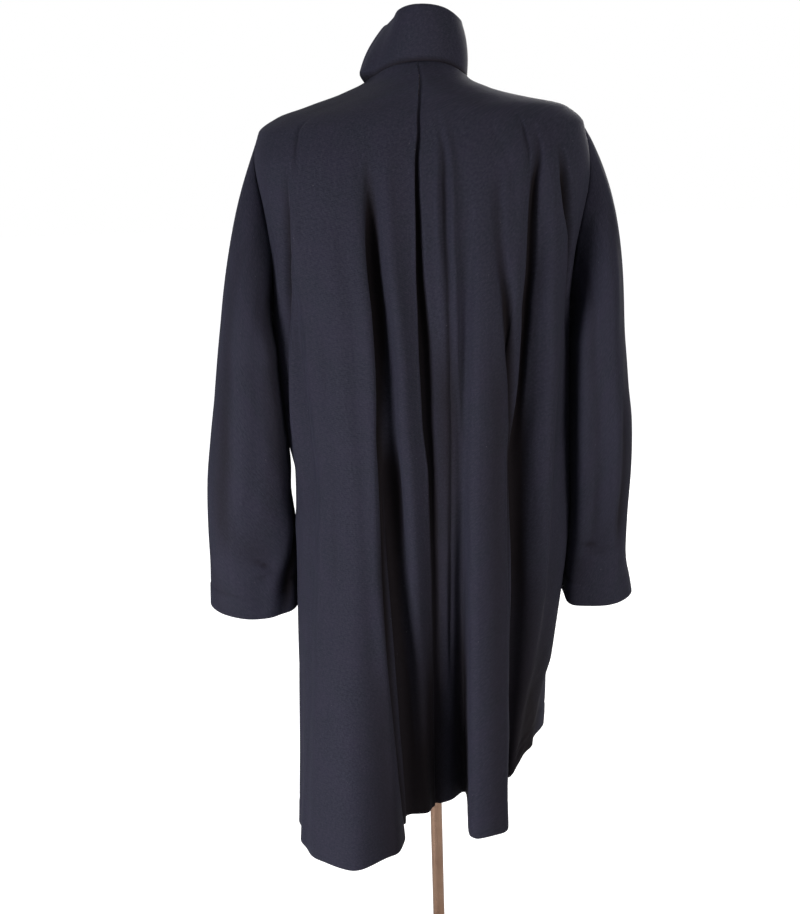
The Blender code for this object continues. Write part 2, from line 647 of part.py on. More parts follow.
def build_buttons():
    """Round buttons on the upper front's lap, flat and just clear of the cloth."""
    cloth = bpy.data.objects["front_left"].data
    corners = 24
    tree = BVHTree.FromPolygons([v.co for v in cloth.vertices],
                                [tuple(p.vertices) for p in cloth.polygons])
    for n, z in enumerate(BUTTON_HEIGHTS):
        seat, normal, _, _ = tree.ray_cast(Vector((BUTTON_X, -1.0, z)), Vector((0.0, 1.0, 0.0)))
        side = Vector((0.0, 0.0, 1.0)).cross(normal).normalized()
        up = normal.cross(side)
        around = []
        for c in range(corners):
            a = 2.0 * math.pi * c / corners
            around.append(side * math.cos(a) + up * math.sin(a))
        clear = 0.0
        for step in around:
            above = seat + step * BUTTON_RADIUS + normal * 0.05
            hit, _, _, depth = tree.ray_cast(above, -normal)
            clear = max(clear, 0.05 - depth)
        clear += BUTTON_CLEAR
        rings = ((0.92, clear), (1.0, clear + 0.0008), (1.0, clear + BUTTON_THICK * 0.8),
                 (0.88, clear + BUTTON_THICK))
        vertices = []
        faces = []
        for scale, out in rings:
            for step in around:
                vertices.append(seat + normal * out + step * BUTTON_RADIUS * scale)
        for r in range(len(rings) - 1):
            for c in range(corners):
                d = (c + 1) % corners
                faces.append((r * corners + c, r * corners + d,
                              (r + 1) * corners + d, (r + 1) * corners + c))
        faces.append(tuple(reversed(range(corners))))
        top = (len(rings) - 1) * corners
        faces.append(tuple(range(top, top + corners)))
        add_object("button_%d" % (n + 1), vertices, faces, "button")


# ------------------------------------------------------------------ the stand
def build_form():
    """Torso with closed arm ends and a short neck, smooth all over.

    Its shoulder line lies just under the coat's, and the coat rests there.
    """
    rows = [row for row in FORM_SECTIONS]
    drop = CLOTH * 1.06 + FORM_SEAT
    for level in UPPER_ROWS[:FORM_SEAT_ROWS]:
        half, _ = section_point(np.array(0.0), np.array(level))
        _, back = section_point(np.array(90.0), np.array(level))
        _, front = section_point(np.array(270.0), np.array(level))
        rows.append((level - drop, float(half), float(back) * FORM_SLIMMER,
                     float(-front) * FORM_SLIMMER, 2.0))
    rows.sort()
    vertices = []
    faces = []
    for z, half, back, front, square in rows:
        power = 2.0 / square
        for c in range(FORM_COLUMNS):
            a = 2.0 * math.pi * c / FORM_COLUMNS
            deep = back if math.sin(a) >= 0 else front
            x = half * math.copysign(abs(math.cos(a)) ** power, math.cos(a))
            y = deep * math.copysign(abs(math.sin(a)) ** power, math.sin(a))
            vertices.append((x, y, z))
    for r in range(len(rows) - 1):
        for c in range(FORM_COLUMNS):
            d = (c + 1) % FORM_COLUMNS
            faces.append((r * FORM_COLUMNS + c, r * FORM_COLUMNS + d,
                          (r + 1) * FORM_COLUMNS + d, (r + 1) * FORM_COLUMNS + c))
    faces.append(tuple(reversed(range(FORM_COLUMNS))))
    top = (len(rows) - 1) * FORM_COLUMNS
    faces.append(tuple(range(top, top + FORM_COLUMNS)))
    add_object("dress_form", vertices, faces, "form")


def build_stand():
    edge = 0.003
    socket_top = BASE_THICK + SOCKET_HEIGHT
    turned("base", ((BASE_RADIUS, 0.0), (BASE_RADIUS, BASE_THICK - edge),
                    (BASE_RADIUS - edge, BASE_THICK), (SOCKET_RADIUS * 1.6, BASE_THICK + 0.0015),
                    (SOCKET_RADIUS, socket_top - 0.002), (SOCKET_RADIUS - 0.002, socket_top)),
           "base", 64)
    turned("pole", ((POLE_RADIUS, socket_top + PART_GAP),
                    (POLE_RADIUS, FORM_BOTTOM_Z - PART_GAP)), "pole", 24)


def main():
    for item in list(bpy.data.objects):
        bpy.data.objects.remove(item, do_unlink=True)
    edges = build_panels()
    build_sleeve("sleeve_left", 1.0, edges["back_left"], edges["front_left"])
    build_sleeve("sleeve_right", -1.0, edges["back_right"], edges["front_right"])
    build_collar()
    build_buttons()
    build_form()
    build_stand()


main()
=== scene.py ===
"""Looks of a wool overcoat on a limbless dress form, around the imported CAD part.

Metres, +Z up. The coat's front faces -Y and the wearer's left is +X. A girth angle is 0 at
the left side, 90 at the centre back, 180 at the right side and 270 at the centre front.
"""
import math

import bpy
import numpy as np
from mathutils import Matrix, Vector


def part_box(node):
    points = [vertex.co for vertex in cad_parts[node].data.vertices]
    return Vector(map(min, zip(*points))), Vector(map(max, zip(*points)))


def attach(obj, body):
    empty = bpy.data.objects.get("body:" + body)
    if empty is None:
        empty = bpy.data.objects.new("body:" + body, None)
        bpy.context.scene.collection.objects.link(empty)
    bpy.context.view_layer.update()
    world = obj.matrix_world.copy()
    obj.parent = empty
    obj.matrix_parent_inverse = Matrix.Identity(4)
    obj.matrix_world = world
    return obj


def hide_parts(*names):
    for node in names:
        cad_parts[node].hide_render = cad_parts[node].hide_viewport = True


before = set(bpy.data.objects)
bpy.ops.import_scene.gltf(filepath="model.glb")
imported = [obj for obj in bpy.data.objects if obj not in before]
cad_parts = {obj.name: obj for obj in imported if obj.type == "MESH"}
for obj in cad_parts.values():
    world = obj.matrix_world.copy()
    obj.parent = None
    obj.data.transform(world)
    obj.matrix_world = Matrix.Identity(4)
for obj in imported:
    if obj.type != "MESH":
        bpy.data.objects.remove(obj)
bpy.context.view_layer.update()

# ------------------------------------------------------------------ sizes, as in the CAD
CLOTH = 0.0018
COLLAR_CLOTH = 0.0030
NAPE_Z = 1.460
FRONT_NECK_Z = 1.385
NECK_HALF, NECK_BACK, NECK_FRONT = 0.066, 0.068, 0.062
SHOULDER_TIP_Z = 1.378
UNDERARM_Z = 1.145
TOP_LEVEL = 1.441          # the side's height at the neck
HEM_Z = 0.398
HEM_TILT = 0.110
HEM_TILT_DIRECTION = (0.78, 0.62)
WAIST_Z = 0.950
CREASE_TOP_Z = 1.360
CREASE_QUICK = 1.4         # a crease has its waist depth after 1 / 1.4 of the way to the waist
# degrees that the armhole cuts off each panel where it is widest
ARMHOLE_CUT = {"back_left": 13.5, "back_right": 12.0, "front_left": 24.0, "front_right": 24.0}
# girth angle from which the armhole's cut moves a panel's columns no more
ARMHOLE_REACH = {"back_left": 50.0, "back_right": 142.0, "front_left": 312.0,
                 "front_right": 226.0}
LAP = 5.0                  # degrees past the centre front
LAP_RAMP = 9.0             # degrees over which the lap comes down to the coat again
LAP_LIFT = 0.0030
HEM_EXTRA = 0.0016         # how much thicker the turned-up hem is
RIM = 0.45                 # how far a rounded rim stands out, as a share of the thickness
SEAM_HALF = 0.00004        # kept free of each panel's rim at a seam
HEM_LAP = 0.0003           # how much nearer a panel's edges reach at the hem. The side seams
                           # stay open by a thin slit all the same
HEM_DEPTH = 0.038          # cloth turned up at the hem
CUFF_DEPTH = 0.036
TURN_UP_RAMP = 0.004       # length over which a turned-up edge reaches its full thickness
COLLAR_HEIGHT = 0.067
COLLAR_GAP = 0.0006
COLLAR_ENDS = (-76.0, 257.0)
BUTTON_RADIUS = 0.0125
BUTTON_THICK = 0.0040
BUTTON_COUNT = 4

# z, half width, depth behind the pole, in front of it, squareness
SECTIONS = (
    (1.475, 0.050, 0.052, 0.022, 2.0),
    (1.460, 0.057, 0.068, 0.026, 2.0),
    (1.441, 0.066, 0.082, 0.030, 2.0),
    (1.425, 0.098, 0.091, 0.036, 2.1),
    (1.411, 0.146, 0.097, 0.046, 2.2),
    (1.397, 0.192, 0.104, 0.056, 2.3),
    (1.378, 0.2155, 0.111, 0.066, 2.4),
    (1.340, 0.2210, 0.122, 0.084, 2.7),
    (1.280, 0.2140, 0.132, 0.108, 2.8),
    (1.210, 0.2060, 0.138, 0.128, 2.8),
    (1.145, 0.1990, 0.140, 0.138, 2.7),
    (1.050, 0.1950, 0.140, 0.142, 2.6),
    (1.000, 0.1920, 0.140, 0.143, 2.6),
    (0.940, 0.1895, 0.141, 0.144, 2.5),
    (0.720, 0.1950, 0.140, 0.160, 2.3),
    (0.380, 0.1880, 0.135, 0.190, 2.2),
)
# z, extra width of the left and of the right half
SHOULDER_SHIFT = (
    (1.425, 0.000, 0.000),
    (1.411, -0.005, 0.006),
    (1.404, -0.008, 0.015),
    (1.397, -0.007, 0.010),
    (1.378, -0.003, 0.005),
    (1.340, 0.000, 0.003),
    (1.210, 0.000, 0.000),
)
# girth angle, rise of the hem
HEM_RISE = (
    (118.0, 0.000),
    (136.0, 0.006),
    (150.0, 0.024),
    (168.0, 0.034),
    (186.0, 0.030),
    (208.0, 0.020),
    (240.0, 0.000),
)
# girth angle at the shoulders, at the hem, z where it starts, depth at the waist, at the hem
CREASES = (
    (0.0, 0.0, 1.12, -0.004, 0.006),
    (22.0, 24.0, 1.12, 0.000, 0.040),
    (34.0, 34.0, 1.37, -0.006, 0.066),
    (41.0, 42.0, 1.37, 0.004, 0.082),
    (54.0, 55.0, 1.30, 0.008, 0.090),
    (72.0, 71.0, 1.30, 0.007, 0.047),
    (77.0, 79.0, 1.40, -0.016, -0.044),
    (82.5, 85.0, 1.38, 0.003, -0.054),
    (89.0, 88.6, 1.455, -0.012, -0.070),
    (93.3, 93.9, 1.41, 0.002, -0.075),
    (96.0, 97.9, 1.40, -0.004, -0.098),
    (100.4, 100.1, 1.40, 0.007, 0.026),
    (114.7, 115.9, 1.30, 0.008, 0.036),
    (124.5, 121.5, 1.38, -0.020, -0.078),
    (142.0, 142.0, 1.34, 0.004, -0.062),
    (154.0, 160.0, 1.36, -0.004, -0.054),
    (180.0, 180.0, 1.10, 0.006, -0.038),
    (200.0, 206.0, 1.06, 0.004, 0.013),
    (213.0, 217.0, 1.20, -0.006, -0.008),
    (226.0, 228.0, 1.22, 0.006, 0.024),
    (240.0, 241.0, 1.18, -0.005, -0.010),
    (252.0, 253.0, 1.16, 0.003, 0.014),
    (270.0, 270.0, 1.10, 0.000, 0.000),
    (286.0, 287.0, 1.16, 0.003, 0.016),
    (299.0, 300.0, 1.20, -0.005, -0.014),
    (312.0, 314.0, 1.22, 0.006, 0.022),
    (327.0, 328.0, 1.18, -0.005, -0.012),
    (342.0, 344.0, 1.08, 0.002, 0.012),
)
LEAN = ((94.0, 0.0), (98.5, 0.16), (104.0, 0.16), (122.0, 0.09), (136.0, 0.0))

# z, the ring's y, then middle, half width and half depth of the left and the right sleeve
SLEEVE_RINGS = (
    (1.085, 0.012, 0.2415, 0.0455, 0.068, 0.2390, 0.0400, 0.071),
    (1.030, 0.016, 0.2435, 0.0515, 0.064, 0.2415, 0.0425, 0.068),
    (0.970, 0.014, 0.2475, 0.0575, 0.058, 0.2455, 0.0465, 0.064),
    (0.900, 0.006, 0.2535, 0.0620, 0.051, 0.2470, 0.0480, 0.060),
    (0.830, -0.004, 0.2570, 0.0635, 0.045, 0.2465, 0.0470, 0.057),
    (0.765, -0.014, 0.2595, 0.0650, 0.040, 0.2485, 0.0475, 0.054),
    (0.690, -0.020, 0.2615, 0.0660, 0.037, 0.2545, 0.0525, 0.050),
)
# girth angle, height share, lean outward, bulge, how far its foot rolls over the seam
COLLAR_SHAPE = (
    (-76.0, 0.66, 0.016, 0.008, 0.002),
    (-50.0, 0.84, -0.002, 0.008, 0.007),
    (-20.0, 1.00, -0.022, 0.003, 0.013),
    (8.0, 1.00, -0.028, 0.000, 0.012),
    (30.0, 1.00, -0.028, 0.000, 0.002),
    (60.0, 1.00, -0.016, 0.000, 0.000),
    (90.0, 1.00, -0.006, 0.001, 0.000),
    (135.0, 1.00, -0.004, 0.002, 0.000),
    (180.0, 1.00, -0.006, 0.003, 0.000),
    (225.0, 0.92, 0.000, 0.004, 0.000),
    (257.0, 0.66, 0.012, 0.004, 0.000),
)

# z, swell of the coat's left and right side towards the sleeves, metres
SIDE_SWELL = (
    (1.220, 0.0000, 0.0000),
    (1.190, 0.0030, 0.0020),
    (1.150, 0.0078, 0.0044),
    (1.120, 0.0108, 0.0064),
    (1.092, 0.0116, 0.0072),
    (1.050, 0.0132, 0.0070),
    (1.000, 0.0142, 0.0070),
    (0.976, 0.0132, 0.0076),
    (0.946, 0.0104, 0.0094),
    (0.915, 0.0040, 0.0114),
    (0.860, 0.0034, 0.0134),
    (0.840, 0.0042, 0.0142),
    (0.800, 0.0014, 0.0142),
    (0.760, 0.0000, 0.0128),
    (0.730, 0.0000, 0.0108),
    (0.650, 0.0000, 0.0080),
    (0.600, 0.0000, 0.0066),
    (0.566, 0.0000, 0.0015),
    (0.520, 0.0000, -0.0020),
    (0.470, 0.0000, -0.0040),
    (0.380, 0.0000, 0.0000),
)
SIDE_REACH_FRONT, SIDE_REACH_BACK = 0.065, 0.075
# z, how far the inner side of the left and of the right sleeve gives way to them, metres
SLEEVE_YIELD = (
    (1.130, 0.0052, 0.0030),
    (1.092, 0.0070, 0.0036),
    (1.050, 0.0096, 0.0044),
    (1.000, 0.0092, 0.0048),
    (0.976, 0.0080, 0.0049),
    (0.946, 0.0059, 0.0058),
    (0.917, 0.0044, 0.0067),
    (0.886, 0.0054, 0.0076),
    (0.856, 0.0026, 0.0078),
    (0.825, -0.0004, 0.0076),
    (0.794, -0.0006, 0.0064),
    (0.750, 0.0014, 0.0018),
    (0.720, 0.0010, 0.0000),
    (0.690, 0.0007, 0.0000),
)

# Finer folds of the body. Path as (z, girth angle) pairs; width on the side of lower and of
# higher girth angles, metres; depth, + is a ridge; where given, how many times wider the lower
# side is at the path's foot, and the length over which the fold fades in
FOLDS = (
    # the trough between the left lobe and the centre, and its crisp left edge
    (((1.370, 76.9), (1.30, 77.0), (1.24, 76.6), (1.11, 76.0), (1.04, 75.4), (0.95, 73.8),
      (0.80, 72.8), (0.65, 73.8), (0.50, 75.0), (0.36, 76.4)), 0.0044, 0.0080, -0.0140, 3.5, 0.15),
    (((1.02, 77.0), (0.90, 76.2), (0.80, 75.8), (0.65, 76.2), (0.36, 78.0)), 0.011, 0.014, -0.0120),
    (((1.31, 74.6), (1.14, 73.0), (1.01, 71.4), (0.88, 69.0), (0.77, 67.6)),
     0.013, 0.005, 0.0034),
    (((1.40, 82.2), (1.24, 82.2), (1.08, 82.3), (0.95, 81.4), (0.87, 81.8), (0.72, 83.0),
      (0.36, 85.4)), 0.009, 0.009, 0.0034),
    # the fan of ridges and troughs beside the centre pleat
    (((1.41, 94.0), (1.39, 93.8), (1.35, 91.5), (1.31, 90.9), (1.26, 90.9), (1.12, 91.2)),
     0.0032, 0.0032, 0.0030),
    (((1.41, 94.4), (1.37, 92.7), (1.31, 92.0), (1.25, 91.9), (1.17, 92.3), (1.08, 93.0),
      (0.95, 93.5), (0.80, 93.8), (0.60, 94.2)), 0.0036, 0.0050, -0.0056),
    (((1.42, 94.8), (1.39, 94.5), (1.35, 93.9), (1.31, 93.7), (1.23, 93.6), (1.16, 94.4),
      (1.09, 95.0), (0.95, 97.0)), 0.0034, 0.0060, 0.0044),
    (((1.37, 98.6), (1.28, 98.0), (1.16, 98.6), (1.05, 99.6)), 0.0060, 0.0060, -0.0010),
    # the rounded left part of the right lobe
    (((1.26, 101.6), (1.05, 102.4), (0.95, 102.8), (0.65, 103.4), (0.36, 103.6)),
     0.0085, 0.0230, 0.0062),
    # two troughs of the right back that meet above lobe two
    (((1.38, 108.7), (1.30, 106.6), (1.25, 107.5), (1.20, 108.9), (1.14, 113.0)),
     0.0120, 0.0070, -0.0050),
    (((1.27, 107.2), (1.24, 107.6), (1.20, 108.9), (1.16, 112.0), (1.12, 114.1), (1.06, 116.6),
      (1.00, 117.6), (0.90, 117.8), (0.80, 117.8), (0.65, 117.8), (0.36, 118.6)),
     0.0070, 0.0090, -0.0160, 1.0, 0.20),
    (((1.06, 122.5), (0.98, 121.6), (0.90, 121.8), (0.80, 122.4), (0.60, 123.4), (0.36, 123.0)),
     0.0120, 0.0160, -0.0140),
    (((1.395, 126.4), (1.36, 125.0), (1.31, 122.7), (1.25, 123.4), (1.19, 124.8), (1.13, 125.4),
      (1.07, 124.6), (1.00, 123.4), (0.90, 123.0)), 0.0080, 0.0036, -0.0115),
    (((1.24, 112.5), (1.18, 117.2), (1.12, 119.6), (1.04, 121.0)), 0.0060, 0.0060, 0.0030),
    (((1.38, 129.0), (1.31, 130.5), (1.23, 134.5), (1.13, 139.2), (0.99, 142.0), (0.60, 146.0)),
     0.012, 0.012, 0.0040),
    # the right armhole's raised edge and the trough beside it
    (((1.372, 169.0), (1.30, 168.5), (1.20, 170.0)), 0.024, 0.030, 0.0075),
    (((1.375, 133.0), (1.34, 136.4), (1.31, 139.6), (1.27, 145.7), (1.24, 153.0), (1.20, 159.0),
      (1.15, 162.0), (1.08, 164.0)), 0.0070, 0.0065, -0.0175),
    (((1.35, 142.0), (1.30, 148.0), (1.26, 155.0), (1.20, 163.0)), 0.0060, 0.0060, 0.0022),
    # the left back's fold edge beside the armhole
    (((1.36, 49.0), (1.30, 45.4), (1.23, 40.5), (1.16, 31.5), (1.09, 26.0), (1.00, 21.5),
      (0.92, 19.5), (0.80, 17.0)), 0.0032, 0.0090, 0.0032),
    (((1.36, 44.6), (1.30, 40.6), (1.23, 35.4), (1.16, 26.8), (1.09, 21.4), (1.00, 17.2),
      (0.92, 15.5)), 0.0090, 0.0036, -0.0080),
    (((1.30, 30.0), (1.23, 25.0), (1.14, 16.0), (1.06, 11.0)), 0.0080, 0.0070, 0.0020),
    # short dents under the shoulders
    (((1.402, 42.0), (1.385, 44.0), (1.345, 48.0)), 0.0036, 0.0036, -0.0026),
    (((1.400, 121.0), (1.335, 118.6)), 0.0035, 0.0035, -0.0030),
    (((1.395, 72.0), (1.30, 75.0)), 0.0070, 0.0070, -0.0012),
    (((1.395, 107.0), (1.35, 110.0), (1.30, 112.0)), 0.0060, 0.0060, -0.0012),
    (((1.385, 63.0), (1.33, 60.0)), 0.0060, 0.0060, -0.0012),
    # long low swells of the skirt
    (((1.34, 66.0), (1.20, 67.0), (1.00, 65.5), (0.60, 66.0)), 0.009, 0.009, -0.0012),
    (((1.30, 58.0), (1.00, 60.0), (0.60, 61.0)), 0.014, 0.014, 0.0020),
    (((1.20, 50.0), (1.00, 49.0), (0.70, 50.0)), 0.009, 0.009, -0.0014),
    (((0.95, 20.0), (0.60, 16.0), (0.38, 14.0)), 0.014, 0.014, -0.0030),
    (((1.05, 150.0), (0.80, 152.0), (0.45, 152.0)), 0.014, 0.014, -0.0025),
    # the fronts
    (((1.36, 306.0), (1.26, 300.0), (1.05, 299.0), (0.60, 297.0)), 0.010, 0.008, -0.0044),
    (((1.32, 318.0), (1.20, 316.0), (0.80, 312.0), (0.45, 311.0)), 0.012, 0.012, 0.0036),
    (((1.10, 335.0), (0.70, 333.0), (0.42, 332.0)), 0.010, 0.014, -0.0046),
    (((1.34, 236.0), (1.24, 238.0), (1.00, 240.0), (0.60, 243.0)), 0.008, 0.010, -0.0044),
    (((1.30, 222.0), (1.18, 224.0), (0.80, 228.0), (0.45, 230.0)), 0.012, 0.012, 0.0036),
    (((1.08, 204.0), (0.70, 208.0), (0.42, 210.0)), 0.014, 0.010, -0.0044),
)
FOLD_FADE = 0.12           # that length where a row doesn't give it

# painted shade in and beside the deep folds and on slopes turned from the light. Path as (z,
# girth angle) pairs; reach in degrees on both sides, share at the path's top and at its foot
SHADES = (
    (((1.16, 92.2), (0.95, 92.9), (0.70, 93.4), (0.36, 93.8)), 3.4, 3.2, 0.80, 0.10),
    (((0.74, 68.5), (0.50, 69.5), (0.36, 71.0)), 6.5, 5.0, 0.40, 0.74),
    (((0.80, 128.0), (0.60, 129.0), (0.36, 131.0)), 7.0, 17.0, 0.60, 0.84),
    (((1.16, 109.5), (0.80, 111.5), (0.36, 112.5)), 4.6, 5.0, 0.52, 0.52),
    (((1.00, 89.5), (0.56, 89.7), (0.50, 89.8)), 1.1, 1.1, 1.00, 0.80),
)

# height, width and depth of the centre-back pleat, which opens to the right of the seam
PLEAT = (
    (1.450, 0.0010, 0.0000),
    (1.410, 0.0006, 0.0022),
    (1.360, 0.0012, 0.0050),
    (1.310, 0.0022, 0.0084),
    (1.260, 0.0040, 0.0115),
    (1.210, 0.0062, 0.0135),
    (1.160, 0.0092, 0.0150),
    (1.090, 0.0135, 0.0150),
    (1.000, 0.0120, 0.0130),
    (0.940, 0.0075, 0.0095),
    (0.800, 0.0050, 0.0060),
    (0.360, 0.0040, 0.0045),
)
PLEAT_UNDER = 0.009        # how far the pleat's underlay reaches beneath the left back

# Each panel's pinned columns: a path of (z, girth angle) pairs, or the girth angles at the two
# PIN_HEIGHTS where it runs straight, and the widest column in the stretch that follows, metres
PIN_HEIGHTS = (1.36, 0.398)
CENTRE_BACK = ((1.46, 85.0), (1.42, 87.2), (1.39, 88.1), (1.36, 88.6), (1.26, 88.4), (1.16, 87.9),
               (1.09, 87.6), (1.00, 87.9), (0.94, 88.7), (0.79, 88.8), (0.38, 88.4))
PINS = {
    "back_left": (
        ((0.0, 0.0), 0.0026), ((22.0, 24.0), 0.0022), ((46.0, 46.0), 0.0032),
        ((56.0, 57.0), 0.0032),
        (((1.36, 72.5), (0.95, 69.6), (0.75, 68.6), (0.398, 71.0)), 0.0014),
        (((1.36, 78.6), (0.95, 76.6), (0.75, 76.0), (0.398, 78.6)), 0.0022),
        ((82.5, 85.0), 0.0026), (CENTRE_BACK, 0.0)),
    "back_right": (
        (CENTRE_BACK, 0.0010),
        (((1.46, 90.2), (1.36, 90.4), (1.09, 90.4), (0.94, 90.2), (0.398, 90.2)), 0.0020),
        (((1.36, 94.4), (0.95, 95.0), (0.398, 94.6)), 0.0028),
        ((96.4, 98.0), 0.0026), ((100.8, 100.6), 0.0034), ((115.5, 116.5), 0.0026),
        ((121.0, 119.5), 0.0018), ((128.0, 126.0), 0.0032), ((142.0, 142.0), 0.0030),
        ((154.0, 160.0), 0.0030), ((180.0, 180.0), 0.0)),
    "front_left": (
        ((265.0, 265.0), 0.0042), ((286.0, 287.0), 0.0038), ((312.0, 314.0), 0.0038),
        ((342.0, 344.0), 0.0042), ((360.0, 360.0), 0.0)),
    "front_right": (
        ((180.0, 180.0), 0.0042), ((200.0, 206.0), 0.0042), ((226.0, 228.0), 0.0038),
        ((252.0, 253.0), 0.0038), ((275.0, 275.0), 0.0)),
}


def full_path(path):
    """A pin's path as (z, girth angle) pairs."""
    return path if isinstance(path[0], tuple) else tuple(zip(PIN_HEIGHTS, path))


# ------------------------------------------------------------------ curves
def smooth_curve(x, xs, ys):
    """A curve through the points (xs, ys) that doesn't overshoot them."""
    xs = np.asarray(xs, float)
    ys = np.asarray(ys, float)
    if xs[0] > xs[-1]:
        xs, ys = xs[::-1], ys[::-1]
    step = np.diff(xs)
    slope = np.diff(ys) / step
    inner = np.where(slope[:-1] * slope[1:] > 0.0,
                     2.0 * slope[:-1] * slope[1:] / (slope[:-1] + slope[1:] + 1e-30), 0.0)
    tangent = np.concatenate(([slope[0]], inner, [slope[-1]]))
    x = np.clip(x, xs[0], xs[-1])
    k = np.clip(np.searchsorted(xs, x, side="right") - 1, 0, len(step) - 1)
    s = (x - xs[k]) / step[k]
    return ((1 + 2 * s) * (1 - s) ** 2 * ys[k] + s * (1 - s) ** 2 * step[k] * tangent[k]
            + s * s * (3 - 2 * s) * ys[k + 1] + s * s * (s - 1) * step[k] * tangent[k + 1])


def read(table, column, x):
    """A smooth curve through one column of a table over its first column."""
    rows = np.array(table)
    return smooth_curve(x, rows[:, 0], rows[:, column])


def ease(s):
    s = np.clip(s, 0.0, 1.0)
    return s * s * (3.0 - 2.0 * s)


def unit(v):
    return v / (np.linalg.norm(v, axis=-1, keepdims=True) + 1e-12)


# ------------------------------------------------------------------ the coat's surface
def section_point(angle, z):
    """x and y of the body's plain section, a superellipse with a shifted shoulder line."""
    half, back, front, square = (read(SECTIONS, k, z) for k in (1, 2, 3, 4))
    power = 2.0 / square
    c = np.cos(np.radians(angle))
    s = np.sin(np.radians(angle))
    left, right = (read(SHOULDER_SHIFT, k, z) for k in (1, 2))
    x = (half + np.where(c > 0.0, left, right)) * np.sign(c) * np.abs(c) ** power
    y = np.where(s >= 0.0, back, front) * np.sign(s) * np.abs(s) ** power
    return x, y


def place(top, hem, z):
    """Girth angle at height z of a line that runs from the shoulders to the hem."""
    low = np.clip((CREASE_TOP_Z - z) / (CREASE_TOP_Z - HEM_Z), 0.0, 1.0)
    return top + (hem - top) * low


def creases(angle, z):
    """How far the large folds move the surface out at a girth angle and height."""
    places = []
    depths = []
    for top, hem, start, waist, deep in CREASES:
        places.append(place(top, hem, z))
        share = CREASE_QUICK * (start - z) / (start - WAIST_Z)
        below = np.clip((WAIST_Z - z) / (WAIST_Z - HEM_Z), 0.0, 1.15)
        depths.append(waist * ease(share) + (deep - waist) * below ** 1.3)
    places.append(places[0] + 360.0)
    depths.append(depths[0])
    angle = np.mod(angle, 360.0)
    shift = np.zeros_like(angle)
    for k in range(len(CREASES)):
        inside = (angle >= places[k]) & (angle <= places[k + 1])
        s = (angle - places[k]) / (places[k + 1] - places[k])
        shift = np.where(inside, depths[k] + (depths[k + 1] - depths[k]) * ease(s), shift)
    return shift


def coat_point(angle, z):
    """The surface with its large folds."""
    angle = np.asarray(angle, float)
    z = np.asarray(z, float) + 0.0 * angle
    x, y = section_point(angle, z)
    x2, y2 = section_point(angle + 0.5, z)
    x1, y1 = section_point(angle - 0.5, z)
    length = np.sqrt((x2 - x1) ** 2 + (y2 - y1) ** 2) + 1e-12
    out_x = (y2 - y1) / length
    out_y = (x1 - x2) / length
    deep = creases(angle, z)
    straight = 0.2 + 0.8 * np.abs(np.cos(np.radians(angle))) ** 1.5
    along = np.sqrt((straight * out_x) ** 2 + out_y ** 2) + 1e-12
    lean = np.interp(np.mod(angle, 360.0), [row[0] for row in LEAN], [row[1] for row in LEAN])
    x = x + deep * (straight * out_x / along + lean)
    y = y + deep * out_y / along
    return np.stack([x, y, z], -1)


def neck_z(angle):
    """Height of the neck seam: where the surface comes in to the neck's oval."""
    angle = np.asarray(angle, float)
    low = np.full(angle.shape, FRONT_NECK_Z - 0.03)
    high = np.full(angle.shape, NAPE_Z + 0.03)
    for _ in range(30):
        middle = 0.5 * (low + high)
        x, y = section_point(angle, middle)
        deep = np.where(y >= 0.0, NECK_BACK, NECK_FRONT)
        outside = (x / NECK_HALF) ** 2 + (y / deep) ** 2 > 1.0
        low = np.where(outside, middle, low)
        high = np.where(outside, high, middle)
    return 0.5 * (low + high)


def hem_z(angle):
    """Height of the tilted and waved hem."""
    x, y = section_point(angle, HEM_Z)
    rise = read(HEM_RISE, 1, np.mod(angle, 360.0))
    return HEM_Z + rise - HEM_TILT * (x * HEM_TILT_DIRECTION[0] + y * HEM_TILT_DIRECTION[1])


def armhole(z, widest):
    """Degrees that the armhole cuts off a panel at height z."""
    s = np.clip((SHOULDER_TIP_Z - z) / (SHOULDER_TIP_Z - UNDERARM_Z), 0.0, 1.0)
    return widest * np.sin(np.pi * s ** 1.15) ** 0.62


# ------------------------------------------------------------------ rows of the whole coat
UPPER = np.concatenate([np.linspace(TOP_LEVEL, SHOULDER_TIP_Z, 30, endpoint=False),
                        np.linspace(SHOULDER_TIP_Z, 1.300, 19, endpoint=False),
                        np.linspace(1.300, UNDERARM_Z, 25)])
TIP_ROW = 30               # the row at the shoulder's tip
UPPER_COUNT = len(UPPER)
SKIRT = np.concatenate([np.linspace(0.0, 0.93, 86)[1:], np.linspace(0.93, 1.0, 13)[1:]])
DENSE = 4320               # points round a row before it is evened out
RING = 3600                # and after


